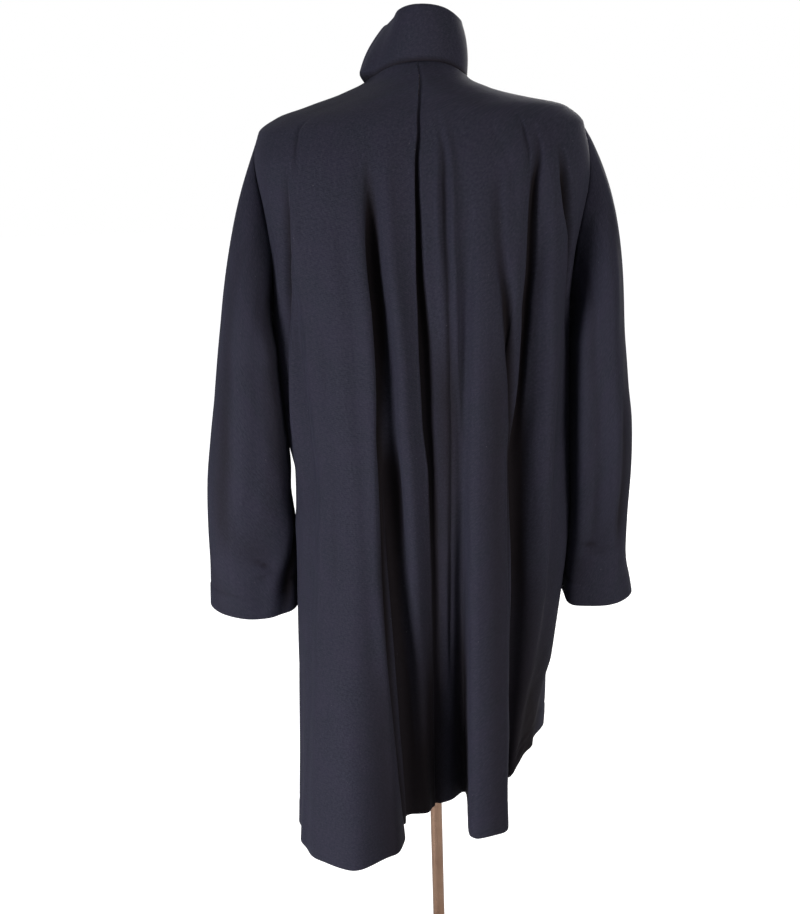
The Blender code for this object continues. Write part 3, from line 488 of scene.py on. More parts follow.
class Body:
    """The whole coat's surface as dense rows, smoothed along each row."""

    def __init__(self):
        angle = np.arange(DENSE) * 360.0 / DENSE
        top = neck_z(angle)
        low = hem_z(angle)
        share = (UPPER - UNDERARM_Z) / (TOP_LEVEL - UNDERARM_Z)
        upper = UNDERARM_Z + (top[None] - UNDERARM_Z) * share[:, None]
        skirt = UNDERARM_Z + (low[None] - UNDERARM_Z) * SKIRT[:, None]
        z = np.concatenate([upper, skirt])
        self.level = np.concatenate([UPPER, UNDERARM_Z + (HEM_Z - UNDERARM_Z) * SKIRT])
        points = coat_point(np.broadcast_to(angle, z.shape), z)
        rows = len(z)
        self.length = np.zeros(rows)
        self.points = np.zeros((rows, RING + 1, 3))
        self.angle = np.zeros((rows, RING + 1))
        wave = np.fft.rfftfreq(RING, 1.0)
        for r in range(rows):
            ring = np.concatenate([points[r], points[r, :1]])
            arc = np.concatenate([[0.0], np.cumsum(np.linalg.norm(np.diff(ring, axis=0), axis=1))])
            self.length[r] = arc[-1]
            seats = np.arange(RING) * arc[-1] / RING
            even = np.stack([np.interp(seats, arc, ring[:, k]) for k in range(3)], -1)
            low_share = np.clip((1.05 - self.level[r]) / 0.5, 0.0, 1.0)
            sigma = (0.0025 + 0.0035 * low_share) / (arc[-1] / RING)
            keep = np.exp(-2.0 * (np.pi * wave * sigma) ** 2)
            even = np.fft.irfft(np.fft.rfft(even, axis=0) * keep[:, None], n=RING, axis=0)
            self.points[r] = np.concatenate([even, even[:1]])
            turned = np.interp(seats, arc, np.append(angle, 360.0))
            self.angle[r] = np.append(turned, 360.0)
        self.arc = np.linspace(0.0, 1.0, RING + 1)[None] * self.length[:, None]

    def arc_at(self, r, angle):
        """Arc length along row r at a girth angle."""
        return np.interp(angle, self.angle[r], self.arc[r])

    def at_arc(self, r, arc):
        return np.stack([np.interp(arc, self.arc[r], self.points[r, :, k]) for k in range(3)], -1)


body = Body()


def normals_of(points, closed=False):
    """Unit normals of a grid whose columns run with the girth angle and rows run down."""
    if closed:
        around = np.roll(points, -1, axis=1) - np.roll(points, 1, axis=1)
    else:
        around = np.gradient(points, axis=1)
    down = np.gradient(points, axis=0)
    return unit(np.cross(down, around))


def run_down(points):
    """Length along each column of a grid from its top row."""
    steps = np.linalg.norm(np.diff(points, axis=0), axis=-1)
    return np.concatenate([np.zeros((1, points.shape[1])), np.cumsum(steps, axis=0)])


def fold_shift(z, arc):
    """Sum of the side swells and finer folds at a grid of heights and arc lengths."""
    shift = np.zeros_like(arc)
    for r in range(len(arc)):
        for side, column in ((0.0, 1), (180.0, 2)):
            away = arc[r] - body.arc_at(r, side)
            away = np.mod(away + 0.5 * body.length[r], body.length[r]) - 0.5 * body.length[r]
            behind = away > 0.0 if column == 1 else away < 0.0
            reach = np.where(behind, SIDE_REACH_BACK, SIDE_REACH_FRONT)
            shift[r] += read(SIDE_SWELL, column, z[r]) * np.exp(-(away / reach) ** 2)
    for path, low_width, high_width, depth, *more in FOLDS:
        spread = more[0] if more else 1.0
        heights = [p[0] for p in path]
        angles = [p[1] for p in path]
        for r in range(len(arc)):
            middle = z[r].mean()
            if middle > heights[0] + 0.01 or middle < heights[-1] - 0.03:
                continue
            centre = body.arc_at(r, np.interp(middle, heights[::-1], angles[::-1]))
            away = arc[r] - centre
            wider = 1.0 + (spread - 1.0) * (heights[0] - middle) / (heights[0] - heights[-1])
            width = np.where(away < 0.0, low_width * wider, high_width)
            reach = min(more[1] if len(more) > 1 else FOLD_FADE, 0.5 * (heights[0] - heights[-1]))
            fade = ease((heights[0] - z[r]) / reach)
            if heights[-1] > 0.45:
                fade = fade * ease((z[r] - heights[-1] + 0.03) / (1.6 * reach))
            shift[r] += depth * fade * np.exp(-(away / width) ** 2)
    return shift


def shaded(painted_shade, z, angle):
    """Painted shade shares drawn towards those of SHADES."""
    for path, low_reach, high_reach, top, foot in SHADES:
        heights = [p[0] for p in path][::-1]
        away = angle - np.interp(z, heights, [p[1] for p in path][::-1])
        weight = np.exp(-(away / np.where(away < 0.0, low_reach, high_reach)) ** 2)
        weight = weight * ease((heights[-1] - z) / 0.14)
        if heights[0] > 0.45:
            weight = weight * ease((z - heights[0]) / 0.08)
        share = foot + (top - foot) * (z - heights[0]) / (heights[-1] - heights[0])
        painted_shade = painted_shade + (share - painted_shade) * weight
    return np.clip(painted_shade, 0.0, 1.0)


def unevenness(arc, down):
    """Slow dents and swells of the cloth, metres, and finer ones."""
    slow = (np.sin(arc * 31.0 + 1.3 + 2.0 * np.sin(down * 5.1)) * np.sin(down * 9.7 + 0.4)
            + 0.6 * np.sin(arc * 57.0 + 4.0 + 1.6 * np.sin(down * 7.3 + 1.0)))
    fine = (np.sin(arc * 123.0 + 3.0 * np.sin(down * 11.0))
            * np.sin(down * 23.0 + 2.0 * np.sin(arc * 17.0)))
    return 0.00045 * slow + 0.00022 * fine


# ------------------------------------------------------------------ meshes
def make_mesh(name, vertices, quads, uv, painted_shade):
    mesh = bpy.data.meshes.new(name)
    mesh.vertices.add(len(vertices))
    mesh.vertices.foreach_set("co", np.asarray(vertices, np.float32).ravel())
    mesh.loops.add(quads.size)
    mesh.loops.foreach_set("vertex_index", quads.astype(np.int32).ravel())
    mesh.polygons.add(len(quads))
    mesh.polygons.foreach_set("loop_start", np.arange(0, quads.size, 4, dtype=np.int32))
    mesh.update(calc_edges=True)
    layer = mesh.uv_layers.new(name="cloth")
    layer.data.foreach_set("uv", np.asarray(uv, np.float32)[quads.ravel()].ravel())
    # each point's painted shade share, which darkens the wool's colour
    attribute = mesh.attributes.new("painted_shade", "FLOAT", "POINT")
    attribute.data.foreach_set("value", np.asarray(painted_shade, np.float32))
    mesh.validate()
    mesh.shade_smooth()
    made = bpy.data.objects.new(name, mesh)
    bpy.context.collection.objects.link(made)
    return made


def shell(name, outer, normal, thick, uv, painted_shade, closed=False):
    """Closed thin wall with rounded rims from an outer grid (rows down, columns round)."""
    rows, columns = outer.shape[:2]
    thick = np.broadcast_to(np.asarray(thick, float), (rows, columns))[..., None]
    inner = outer - normal * thick
    middle = outer - normal * thick * 0.5
    top = middle[:1] + unit(middle[:1] - middle[1:2]) * thick[:1] * RIM
    low = middle[-1:] + unit(middle[-1:] - middle[-2:-1]) * thick[-1:] * RIM
    full_outer = np.concatenate([top, outer, low])
    full_inner = np.concatenate([top, inner, low])
    edge = np.concatenate([top, middle, low])
    wide_uv = np.concatenate([uv[:1], uv, uv[-1:]])
    # painted shade shares, carried out to the rims
    wide_painted_shade = np.concatenate([painted_shade[:1], painted_shade, painted_shade[-1:]])
    if not closed:
        reach = np.concatenate([thick[:1], thick, thick[-1:]])
        first = edge[:, :1] + unit(edge[:, :1] - edge[:, 1:2]) * reach[:, :1] * RIM
        last = edge[:, -1:] + unit(edge[:, -1:] - edge[:, -2:-1]) * reach[:, -1:] * RIM
        full_outer = np.concatenate([first, full_outer, last], 1)
        full_inner = np.concatenate([first, full_inner, last], 1)
        wide_uv = np.concatenate([wide_uv[:, :1], wide_uv, wide_uv[:, -1:]], 1)
        wide_painted_shade = np.concatenate([wide_painted_shade[:, :1], wide_painted_shade, wide_painted_shade[:, -1:]], 1)
    r_count, c_count = full_outer.shape[:2]
    index = np.arange(r_count * c_count).reshape(r_count, c_count)
    other = index.copy()
    inside = np.zeros((r_count, c_count), bool)
    inside[1:-1, (0 if closed else 1):(c_count if closed else -1)] = True
    other[inside] = r_count * c_count + np.arange(inside.sum())
    if closed:
        index = np.concatenate([index, index[:, :1]], 1)
        other = np.concatenate([other, other[:, :1]], 1)

    def quads(i):
        return np.stack([i[:-1, :-1], i[1:, :-1], i[1:, 1:], i[:-1, 1:]], -1).reshape(-1, 4)

    faces = np.concatenate([quads(index), quads(other)[:, ::-1]])
    vertices = np.concatenate([full_outer.reshape(-1, 3), full_inner[inside]])
    all_uv = np.concatenate([wide_uv.reshape(-1, 2), wide_uv[inside] + np.array([3.0, 0.0])])
    all_painted_shade = np.concatenate([wide_painted_shade.reshape(-1), wide_painted_shade[inside]])
    return make_mesh(name, vertices, faces, all_uv, all_painted_shade)


# ------------------------------------------------------------------ materials
class Nodes:
    """Short names for making a material's node tree."""

    def __init__(self, name):
        self.material = bpy.data.materials.new(name)
        self.material.use_nodes = True
        self.tree = self.material.node_tree
        self.shader = self.tree.nodes["Principled BSDF"]

    def add(self, kind, inputs=(), **settings):
        node = self.tree.nodes.new(kind)
        for key, value in settings.items():
            setattr(node, key, value)
        for key, value in dict(inputs).items():
            if isinstance(value, bpy.types.NodeSocket):
                self.tree.links.new(value, node.inputs[key])
            else:
                node.inputs[key].default_value = value
        return node

    def coordinates(self, kind="Object"):
        return self.add("ShaderNodeTexCoord").outputs[kind]

    def noise(self, vector, scale, detail, roughness=0.5, distortion=0.0):
        inputs = {"Vector": vector, "Scale": scale, "Detail": detail,
                  "Roughness": roughness, "Distortion": distortion}
        return self.add("ShaderNodeTexNoise", inputs).outputs["Fac"]

    def math(self, operation, a, b):
        return self.add("ShaderNodeMath", {0: a, 1: b}, operation=operation).outputs[0]

    def mix(self, factor, a, b):
        node = self.add("ShaderNodeMix", data_type="RGBA")
        for socket, value in ((node.inputs[0], factor), (node.inputs[6], a), (node.inputs[7], b)):
            if isinstance(value, bpy.types.NodeSocket):
                self.tree.links.new(value, socket)
            else:
                socket.default_value = value
        return node.outputs[2]

    def ramp(self, value, low, high, to_low=0.0, to_high=1.0):
        node = self.add("ShaderNodeMapRange",
                        {0: value, 1: low, 2: high, 3: to_low, 4: to_high})
        return node.outputs[0]

    def bump(self, strength, distance, height):
        node = self.add("ShaderNodeBump",
                        {"Strength": strength, "Distance": distance, "Height": height})
        self.set("Normal", node.outputs[0])

    def set(self, name, value):
        if isinstance(value, bpy.types.NodeSocket):
            self.tree.links.new(value, self.shader.inputs[name])
        else:
            self.shader.inputs[name].default_value = value


def wool():
    """Napped navy twill with painted shade, dark brown where the cloth lies deep in its folds."""
    n = Nodes("wool_cloth")
    cloth = n.coordinates("UV")
    turned = n.add("ShaderNodeMapping", {"Vector": cloth, "Rotation": (0, 0, 0.98)})
    rib = n.add("ShaderNodeTexWave", {"Vector": turned.outputs[0], "Scale": 130.0,
                                      "Distortion": 0.6, "Detail": 1.0, "Detail Scale": 2.0},
                wave_type="BANDS", bands_direction="X").outputs["Fac"]
    yarn = n.noise(cloth, 1400.0, 3.0, 0.6)
    patch = n.noise(cloth, 22.0, 3.0, 0.55)
    heather = n.noise(cloth, 260.0, 3.0, 0.75)
    stretched = n.add("ShaderNodeMapping", {"Vector": cloth, "Scale": (160.0, 9.0, 1.0)})
    streak = n.noise(stretched.outputs[0], 1.0, 2.0)
    cell = n.add("ShaderNodeTexVoronoi", {"Vector": cloth, "Scale": 95.0, "Randomness": 1.0},
                 feature="F1")
    near = n.ramp(cell.outputs["Distance"], 0.075, 0.030)
    chosen = n.add("ShaderNodeSeparateColor", {0: cell.outputs["Color"]}).outputs[0]
    speck = n.math("MULTIPLY", near, n.math("GREATER_THAN", chosen, 0.88))
    mottle = n.noise(cloth, 420.0, 1.0)
    # painted shade share of each point, from the mesh
    painted_shade = n.add("ShaderNodeAttribute", attribute_name="painted_shade").outputs["Fac"]
    base = n.mix(n.ramp(patch, 0.35, 0.65), (0.0108, 0.0120, 0.0192, 1),
                 (0.0150, 0.0135, 0.0248, 1))
    # pattern, its values for none and for all, largest share, colour
    layers = (
        (heather, 0.40, 0.64, 0.54, (0.0325, 0.0315, 0.0475, 1)),
        (mottle, 0.56, 0.72, 0.30, (0.048, 0.048, 0.077, 1)),
        (rib, 0.1, 0.9, 0.30, (0.026, 0.026, 0.041, 1)),
        (yarn, 0.40, 0.75, 0.30, (0.034, 0.034, 0.048, 1)),
        (streak, 0.35, 0.75, 0.16, (0.012, 0.012, 0.022, 1)),
        # painted shade: dark brown in creases, recesses and on slopes turned from the light
        (painted_shade, 0.0, 1.0, 0.92, (0.0042, 0.0021, 0.0026, 1)),
        (speck, 0.0, 1.0, 0.45, (0.14, 0.14, 0.16, 1)),
    )
    for pattern, low, high, share, colour in layers:
        base = n.mix(n.math("MULTIPLY", n.ramp(pattern, low, high), share), base, colour)
    n.set("Base Color", base)
    n.set("Roughness", n.ramp(yarn, 0.3, 0.7, 0.74, 0.90))
    n.set("Specular IOR Level", 0.14)
    n.set("Sheen Weight", 0.035)
    n.set("Sheen Roughness", 0.45)
    n.set("Sheen Tint", (0.62, 0.64, 0.85, 1))
    n.bump(0.35, 0.0003, n.math("ADD", n.math("MULTIPLY", rib, 0.55),
                                n.math("MULTIPLY", yarn, 0.6)))
    return n.material


def horn():
    n = Nodes("button_horn")
    swirl = n.noise(n.coordinates(), 110.0, 4.0, distortion=1.6)
    n.set("Base Color", n.mix(n.ramp(swirl, 0.35, 0.7), (0.010, 0.009, 0.012, 1),
                              (0.040, 0.032, 0.034, 1)))
    n.set("Roughness", n.ramp(swirl, 0.3, 0.7, 0.26, 0.40))
    return n.material


def linen():
    n = Nodes("form_linen")
    where = n.coordinates()
    across, upright = (
        n.add("ShaderNodeTexWave", {"Vector": where, "Scale": 260.0, "Distortion": 0.5,
                                    "Detail": 1.0}, bands_direction=axis).outputs["Fac"]
        for axis in ("X", "Z"))
    slub = n.noise(where, 60.0, 4.0)
    weave = n.math("MULTIPLY", across, upright)
    base = n.mix(weave, (0.46, 0.42, 0.36, 1), (0.66, 0.62, 0.55, 1))
    n.set("Base Color", n.mix(n.math("MULTIPLY", n.ramp(slub, 0.45, 0.7), 0.3), base,
                              (0.40, 0.35, 0.28, 1)))
    n.set("Roughness", n.ramp(slub, 0.0, 1.0, 0.75, 0.92))
    n.bump(0.3, 0.0004, n.math("ADD", weave, n.math("MULTIPLY", slub, 0.4)))
    return n.material


def copper(name, light, dark, rough):
    n = Nodes(name)
    where = n.coordinates()
    stretch = n.add("ShaderNodeMapping", {"Vector": where, "Scale": (1.0, 1.0, 0.02)})
    brush = n.noise(stretch.outputs[0], 900.0, 2.0)
    stain = n.noise(where, 14.0, 4.0)
    n.set("Base Color", n.mix(n.ramp(stain, 0.4, 0.7), light, dark))
    n.set("Metallic", 1.0)
    total = n.math("ADD", n.math("MULTIPLY", brush, 0.10), n.math("MULTIPLY", stain, 0.16))
    n.set("Roughness", n.math("ADD", total, rough))
    n.bump(0.06, 0.0002, brush)
    return n.material


def thread():
    n = Nodes("sewing_thread")
    ply = n.add("ShaderNodeTexWave", {"Vector": n.coordinates(), "Scale": 900.0,
                                      "Distortion": 1.0},
                bands_direction="DIAGONAL").outputs["Fac"]
    n.set("Base Color", n.mix(ply, (0.010, 0.010, 0.017, 1), (0.028, 0.028, 0.042, 1)))
    n.set("Roughness", n.ramp(ply, 0.0, 1.0, 0.55, 0.75))
    n.bump(0.5, 0.0001, ply)
    return n.material


WOOL = wool()
HORN = horn()
THREAD = thread()


# ------------------------------------------------------------------ the coat's panels
def seam_groove(away):
    """A seam's groove and the low swells beside it, at a distance from the seam."""
    return -0.0009 * np.exp(-(np.abs(away) / 0.0022) ** 2) + 0.0004 * np.exp(
        -((np.abs(away) - 0.006) / 0.003) ** 2)


def panel_columns(name, side_first):
    """Arc lengths of a panel's columns in every row, close together where its pins say so."""
    paths = [full_path(path) for path, _ in PINS[name]]
    widest = np.array([width for _, width in PINS[name]])[:-1]
    side = paths[0][0][1] if side_first else paths[-1][0][1]
    far = ARMHOLE_REACH[name]
    pin_arc = np.zeros((len(body.level), len(paths)))
    for r, level in enumerate(body.level):
        angles = np.array([np.interp(level, [p[0] for p in path][::-1],
                                     [p[1] for p in path][::-1]) for path in paths])
        cut = float(armhole(level, ARMHOLE_CUT[name]))
        if cut > 0.0:
            kept = 1.0 - cut / abs(far - side)
            inner = (angles < far) if side_first else (angles > far)
            angles = np.where(inner, far + (angles - far) * kept, angles)
        pin_arc[r] = body.arc_at(r, angles)
    # number of columns in each stretch, from its longest arc
    counts = np.maximum(3, np.ceil(np.diff(pin_arc, axis=1).max(axis=0) / widest)).astype(int)
    shares = [np.zeros(1)]
    for k, count in enumerate(counts):
        shares.append(k + np.arange(1, count + 1) / count)
    shares = np.concatenate(shares)
    low = np.minimum(shares.astype(int), len(paths) - 2)
    part = shares - low
    return pin_arc[:, low] * (1 - part) + pin_arc[:, low + 1] * part


def painted_shade_share(shift, angle, z):
    """Painted shade for the colour, 0 to 1, by how far the cloth lies back from the swells beside
    it.
    """
    share = np.clip(-(shift + 0.001) / 0.008, 0.0, 1.0)
    low = np.clip((1.00 - z) / 0.40, 0.0, 1.0)
    large = np.clip(-(creases(angle, z) + 0.006) / (0.075 - 0.040 * low), 0.0, 1.0)
    return shaded(np.clip(share + large, 0.0, 1.0), z, angle)


def build_panel(name):
    """One panel's shell, and its outer points and normals along the armhole."""
    is_back = name.startswith("back")
    side_first = name in ("back_left", "front_right")
    arc = panel_columns(name, side_first)
    seam = arc.copy()
    pleat = np.stack([read(PLEAT, k, body.level) for k in (1, 2)], -1)
    if name == "back_right":
        under = PLEAT_UNDER * ease((pleat[:, 1:] - 0.003) / 0.003) + 0.0002
        arc = np.concatenate([arc[:, :1] - under * np.array([[1.0, 0.75, 0.5, 0.25]]), arc], 1)
    points = np.array([body.at_arc(r, row) for r, row in enumerate(arc)])
    angle = np.array([np.interp(row, body.arc[r], body.angle[r]) for r, row in enumerate(arc)])
    z = points[..., 2]
    normal = normals_of(points)
    down = run_down(points)
    shift = fold_shift(z, arc)
    calm = 1.0 if is_back else np.clip(np.abs(angle - 270.0) / 16.0 - 0.6, 0.0, 1.0)
    near_edge = ease(np.minimum(arc - arc[:, :1], arc[:, -1:] - arc) / 0.02)
    shift = shift + unevenness(arc, down) * calm * near_edge
    if side_first:
        shift = shift + seam_groove(arc - seam[:, :1])
    if name == "back_right":
        away = arc - seam[:, :1]
        width, deep = pleat[:, :1], pleat[:, 1:]
        shift = shift - deep * (1.0 - ease((away - 0.55 * width) / (0.55 * width + 0.006)))
    if name == "back_left":
        shift = shift + 0.0012 * np.exp(-((arc - seam[:, -1:]) / 0.004) ** 2) * np.clip(
            pleat[:, 1:] / 0.01, 0.0, 1.0)
    if not side_first:
        shift = shift + seam_groove(arc - seam[:, -1:])
    to_hem = down[-1:] - down
    hem_fold = ease((HEM_DEPTH - to_hem) / TURN_UP_RAMP)
    shift = shift - 0.0004 * np.exp(-((to_hem - HEM_DEPTH) / 0.0022) ** 2)
    shift = shift + 0.0005 * hem_fold
    thick = CLOTH + HEM_EXTRA * hem_fold
    shift = shift * (0.25 + 0.75 * ease(down / 0.03))
    if name == "front_left":
        lift = LAP_LIFT + HEM_EXTRA * hem_fold
        shift = shift + lift * (1.0 - ease((angle - (270.0 + LAP + 2.0)) / LAP_RAMP))
    points = points + normal * shift[..., None]
    normal = normals_of(points)
    for column, other in ((0, 1), (-1, -2)):
        inset = (RIM * thick + SEAM_HALF - HEM_LAP * hem_fold)[:, column, None]
        points[:, column] += unit(points[:, other] - points[:, column]) * inset
    # painted shade of the folds and recesses, for the colour
    painted_shade = painted_shade_share(shift, angle, z)
    made = shell(name + "_cloth", points, normal, thick, np.stack([arc, -down], -1), painted_shade)
    rows_cut = slice(TIP_ROW, UPPER_COUNT)
    column = 0 if side_first else -1
    return made, (points[rows_cut, column], normal[rows_cut, column])


pieces = {}
edges = {}
for panel in ("back_left", "back_right", "front_left", "front_right"):
    pieces[panel], edges[panel] = build_panel(panel)


# ------------------------------------------------------------------ sleeves
SLEEVE_COLUMNS = 96
CAP_ROWS = 30
CAP_FULL = 0.010           # how much fuller the sleeve's head is behind
SLEEVE_POWER = 2.0 / 2.2
SLEEVE_RADIUS = 0.058      # for the length of an angle round the sleeve
ARMHOLE_HALF = (0.066, 0.117)   # the armhole's half depth and half height
CUFF_ROWS_Z = 0.735        # below it the rows lie closer


def sleeve_ring(z, ring_angle, side):
    """Points of the sleeve at heights z. The side is 1 on the left and -1 on the right."""
    column = 2 if side > 0 else 5
    middle_y = read(SLEEVE_RINGS, 1, z)
    middle_x, half_width, half_depth = (read(SLEEVE_RINGS, column + k, z) for k in (0, 1, 2))
    inward = 0.5 * read(SLEEVE_YIELD, 1 if side > 0 else 2, z)
    middle_x = middle_x + inward
    half_width = half_width - inward
    c, s = np.cos(np.radians(ring_angle)), np.sin(np.radians(ring_angle))
    square = 3.6 + 3.4 * ease((z - 0.93) / 0.10) if side > 0 else 8.0
    corner = (np.abs(c) ** square + np.abs(s) ** square) ** (-1.0 / square)
    inner_back = (c < 0.0) & (s > 0.0)
    across = np.where(inner_back, c * corner, np.sign(c) * np.abs(c) ** SLEEVE_POWER)
    behind = np.where(inner_back, s * corner, np.sign(s) * np.abs(s) ** SLEEVE_POWER)
    x = side * (middle_x + half_width * across)
    y = middle_y + half_depth * behind
    return np.stack([x, y, z + 0.0 * x], -1)


# Folds of the sleeves. Path as (height, ring angle) pairs; widths in degrees on both sides,
# depth in metres. Ring angle 0 is outside, 90 behind, 180 towards the body
SLEEVE_FOLDS = {
    1.0: (
        (((1.36, 100.0), (1.25, 104.0), (1.05, 96.0), (0.85, 82.0)), 16.0, 12.0, 0.0022),
        (((1.34, 140.0), (1.20, 138.0), (1.00, 128.0), (0.80, 112.0)), 14.0, 14.0, -0.0014),
        (((1.30, 60.0), (1.10, 55.0), (0.80, 50.0)), 16.0, 16.0, -0.0018),
        (((0.92, 152.0), (0.826, 139.0), (0.755, 119.0), (0.690, 110.0)), 9.0, 9.0, 0.0030),
        (((0.90, 166.0), (0.826, 154.0), (0.755, 134.0), (0.690, 125.0)), 8.0, 8.0, -0.0044),
        (((1.30, 300.0), (1.10, 290.0), (0.85, 280.0)), 18.0, 14.0, -0.0024),
        (((1.20, 250.0), (1.00, 255.0), (0.80, 262.0)), 16.0, 16.0, 0.0020),
    ),
    -1.0: (
        (((1.36, 84.0), (1.25, 80.0), (1.05, 76.0), (0.85, 80.0)), 12.0, 16.0, 0.0024),
        (((1.34, 120.0), (1.20, 120.0), (1.00, 114.0), (0.80, 110.0)), 10.0, 10.0, -0.0014),
        (((1.30, 46.0), (1.10, 44.0), (0.80, 48.0)), 14.0, 14.0, -0.0018),
        (((1.12, 132.0), (0.95, 128.0), (0.80, 126.0)), 9.0, 10.0, 0.0036),
        (((1.05, 62.0), (0.90, 60.0), (0.78, 60.0)), 8.0, 8.0, -0.0026),
        (((1.30, 296.0), (1.10, 288.0), (0.85, 284.0)), 16.0, 14.0, -0.0024),
        (((1.18, 250.0), (1.00, 252.0), (0.80, 258.0)), 16.0, 16.0, 0.0020),
    ),
}


# Short creases above the cuffs: height, ring angle, tilt in degrees, half length, half width,
# depth
CUFF_CREASES = {
    1.0: (
        (0.776, 104.0, -35.0, 0.013, 0.0030, -0.0026),
        (0.760, 111.0, 25.0, 0.015, 0.0030, -0.0024),
        (0.768, 100.0, -10.0, 0.012, 0.0035, 0.0018),
        (0.745, 140.0, 30.0, 0.016, 0.0040, -0.0024),
    ),
    -1.0: (
        (0.790, 120.0, 14.0, 0.022, 0.0034, -0.0026),
        (0.778, 84.0, -9.0, 0.020, 0.0034, -0.0022),
        (0.768, 108.0, 4.0, 0.020, 0.0045, 0.0018),
        (0.757, 60.0, 18.0, 0.014, 0.0034, -0.0018),
    ),
}
# ring angle, rise of the left and of the right cuff's edge
CUFF_RISE = (
    (0.0, 0.014, 0.003),
    (50.0, 0.004, -0.001),
    (90.0, -0.002, -0.004),
    (125.0, 0.004, -0.002),
    (160.0, 0.014, 0.004),
    (200.0, 0.018, 0.006),
    (270.0, 0.010, 0.004),
    (360.0, 0.014, 0.003),
)


def build_sleeve(name, side, back_edge, front_edge):
    """The sleeve from the armhole's loop through the head's rows to the cuff."""
    loop = np.concatenate([back_edge[0], front_edge[0][-2:0:-1]])
    loop_normal = np.concatenate([back_edge[1], front_edge[1][-2:0:-1]])
    ring = np.concatenate([loop, loop[:1]])
    ring_normal = np.concatenate([loop_normal, loop_normal[:1]])
    arc = np.concatenate([[0.0], np.cumsum(np.linalg.norm(np.diff(ring, axis=0), axis=1))])
    seats = np.arange(SLEEVE_COLUMNS) * arc[-1] / SLEEVE_COLUMNS
    start = np.stack([np.interp(seats, arc, ring[:, k]) for k in range(3)], -1)
    normal = unit(np.stack([np.interp(seats, arc, ring_normal[:, k]) for k in range(3)], -1))
    middle = start.mean(axis=0)
    spread = np.degrees(np.arctan2((start[:, 1] - middle[1]) / ARMHOLE_HALF[0],
                                   (start[:, 2] - middle[2]) / ARMHOLE_HALF[1]))
    ring_angle = np.degrees(np.unwrap(np.radians(spread)))
    ring_angle = 0.5 * ring_angle + 0.5 * np.arange(SLEEVE_COLUMNS) * 360.0 / SLEEVE_COLUMNS
    top = np.full(SLEEVE_COLUMNS, SLEEVE_RINGS[0][0])
    first = sleeve_ring(top, ring_angle, side)
    ahead = sleeve_ring(np.full(SLEEVE_COLUMNS, SLEEVE_RINGS[1][0]), ring_angle, side)
    height = (start[:, 2] - UNDERARM_Z) / (SHOULDER_TIP_Z - UNDERARM_Z)
    behind = np.clip((start[:, 1] - middle[1]) / 0.05, -1.0, 1.0)
    outward = 0.46 - 0.04 * height + (0.0 if side > 0 else 0.16) * height
    leave = np.stack([side * outward, np.where(behind > 0.0, 0.34, 0.16) * behind,
                      -0.85 + 0.0 * height], -1)
    reach = np.linalg.norm(first - start, axis=-1, keepdims=True)
    leave *= reach
    arrive = unit(ahead - first) * reach * 1.05
    grid = []
    for r in range(CAP_ROWS):
        s = (r / CAP_ROWS) ** 1.15
        row = ((1 + 2 * s) * (1 - s) ** 2 * start + s * (1 - s) ** 2 * leave
               + s * s * (3 - 2 * s) * first + s * s * (s - 1) * arrive)
        row[:, 1] += CAP_FULL * math.sin(math.pi * s) * np.clip(behind, 0.0, 1.0)
        grid.append(row)
    heights = np.concatenate([np.linspace(SLEEVE_RINGS[0][0], CUFF_ROWS_Z, 52, endpoint=False),
                              np.linspace(CUFF_ROWS_Z, SLEEVE_RINGS[-1][0], 12)])
    rise = read(CUFF_RISE, 1 if side > 0 else 2, np.mod(ring_angle, 360.0))
    for level in heights:
        lifted = level + rise * np.clip((0.80 - level) / 0.11, 0.0, 1.0)
        grid.append(sleeve_ring(lifted, ring_angle, side))
    points = np.array(grid)
    if side < 0:
        points = points[:, ::-1]
        ring_angle = ring_angle[::-1]
        normal = normal[::-1]
        height = height[::-1]
    normals = normals_of(points, closed=True)
    z = points[..., 2]
    angle = np.mod(ring_angle, 360.0)[None] + 0.0 * z
    shift = np.zeros_like(z)
    for path, low_width, high_width, depth in SLEEVE_FOLDS[side]:
        levels = [p[0] for p in path]
        centre = np.interp(z, levels[::-1], [p[1] for p in path][::-1])
        away = np.mod(angle - centre + 180.0, 360.0) - 180.0
        wide = np.where(away < 0.0, low_width, high_width)
        fade = ease((levels[0] - z) / 0.09) * ease((z - levels[-1] + 0.05) / 0.1)
        shift += depth * fade * np.exp(-(away / wide) ** 2)
    down = run_down(points)
    around = np.radians(angle) * SLEEVE_RADIUS
    shift += 1.4 * unevenness(around + 0.3 * side, down) * ease(down / 0.03)
    shift += 0.0010 * np.sin(np.radians(angle * 3.0) + 30.0 * z) * ease((0.84 - z) / 0.08)
    for height_at, turn, tilt, long, narrow, depth in CUFF_CREASES[side]:
        across = np.radians(np.mod(angle - turn + 180.0, 360.0) - 180.0) * SLEEVE_RADIUS
        upward = z - height_at
        c, s = math.cos(math.radians(tilt)), math.sin(math.radians(tilt))
        shift += depth * np.exp(-((across * c + upward * s) / long) ** 2
                                - ((upward * c - across * s) / narrow) ** 2)
    shift += seam_groove(down)
    to_hem = down[-1:] - down
    cuff_fold = ease((CUFF_DEPTH - to_hem) / TURN_UP_RAMP)
    shift -= 0.0010 * np.exp(-((to_hem - CUFF_DEPTH) / 0.0018) ** 2)
    shift += 0.0006 * cuff_fold
    points = points + normals * shift[..., None]
    points[0] += unit(points[1] - points[0]) * (2.0 * RIM * CLOTH + SEAM_HALF)
    normals = normals_of(points, closed=True)
    mitre = normals[0] + normal * np.clip(height, 0.0, 1.0)[:, None]
    normals[0] = unit(mitre)
    thick = CLOTH + 0.0014 * cuff_fold
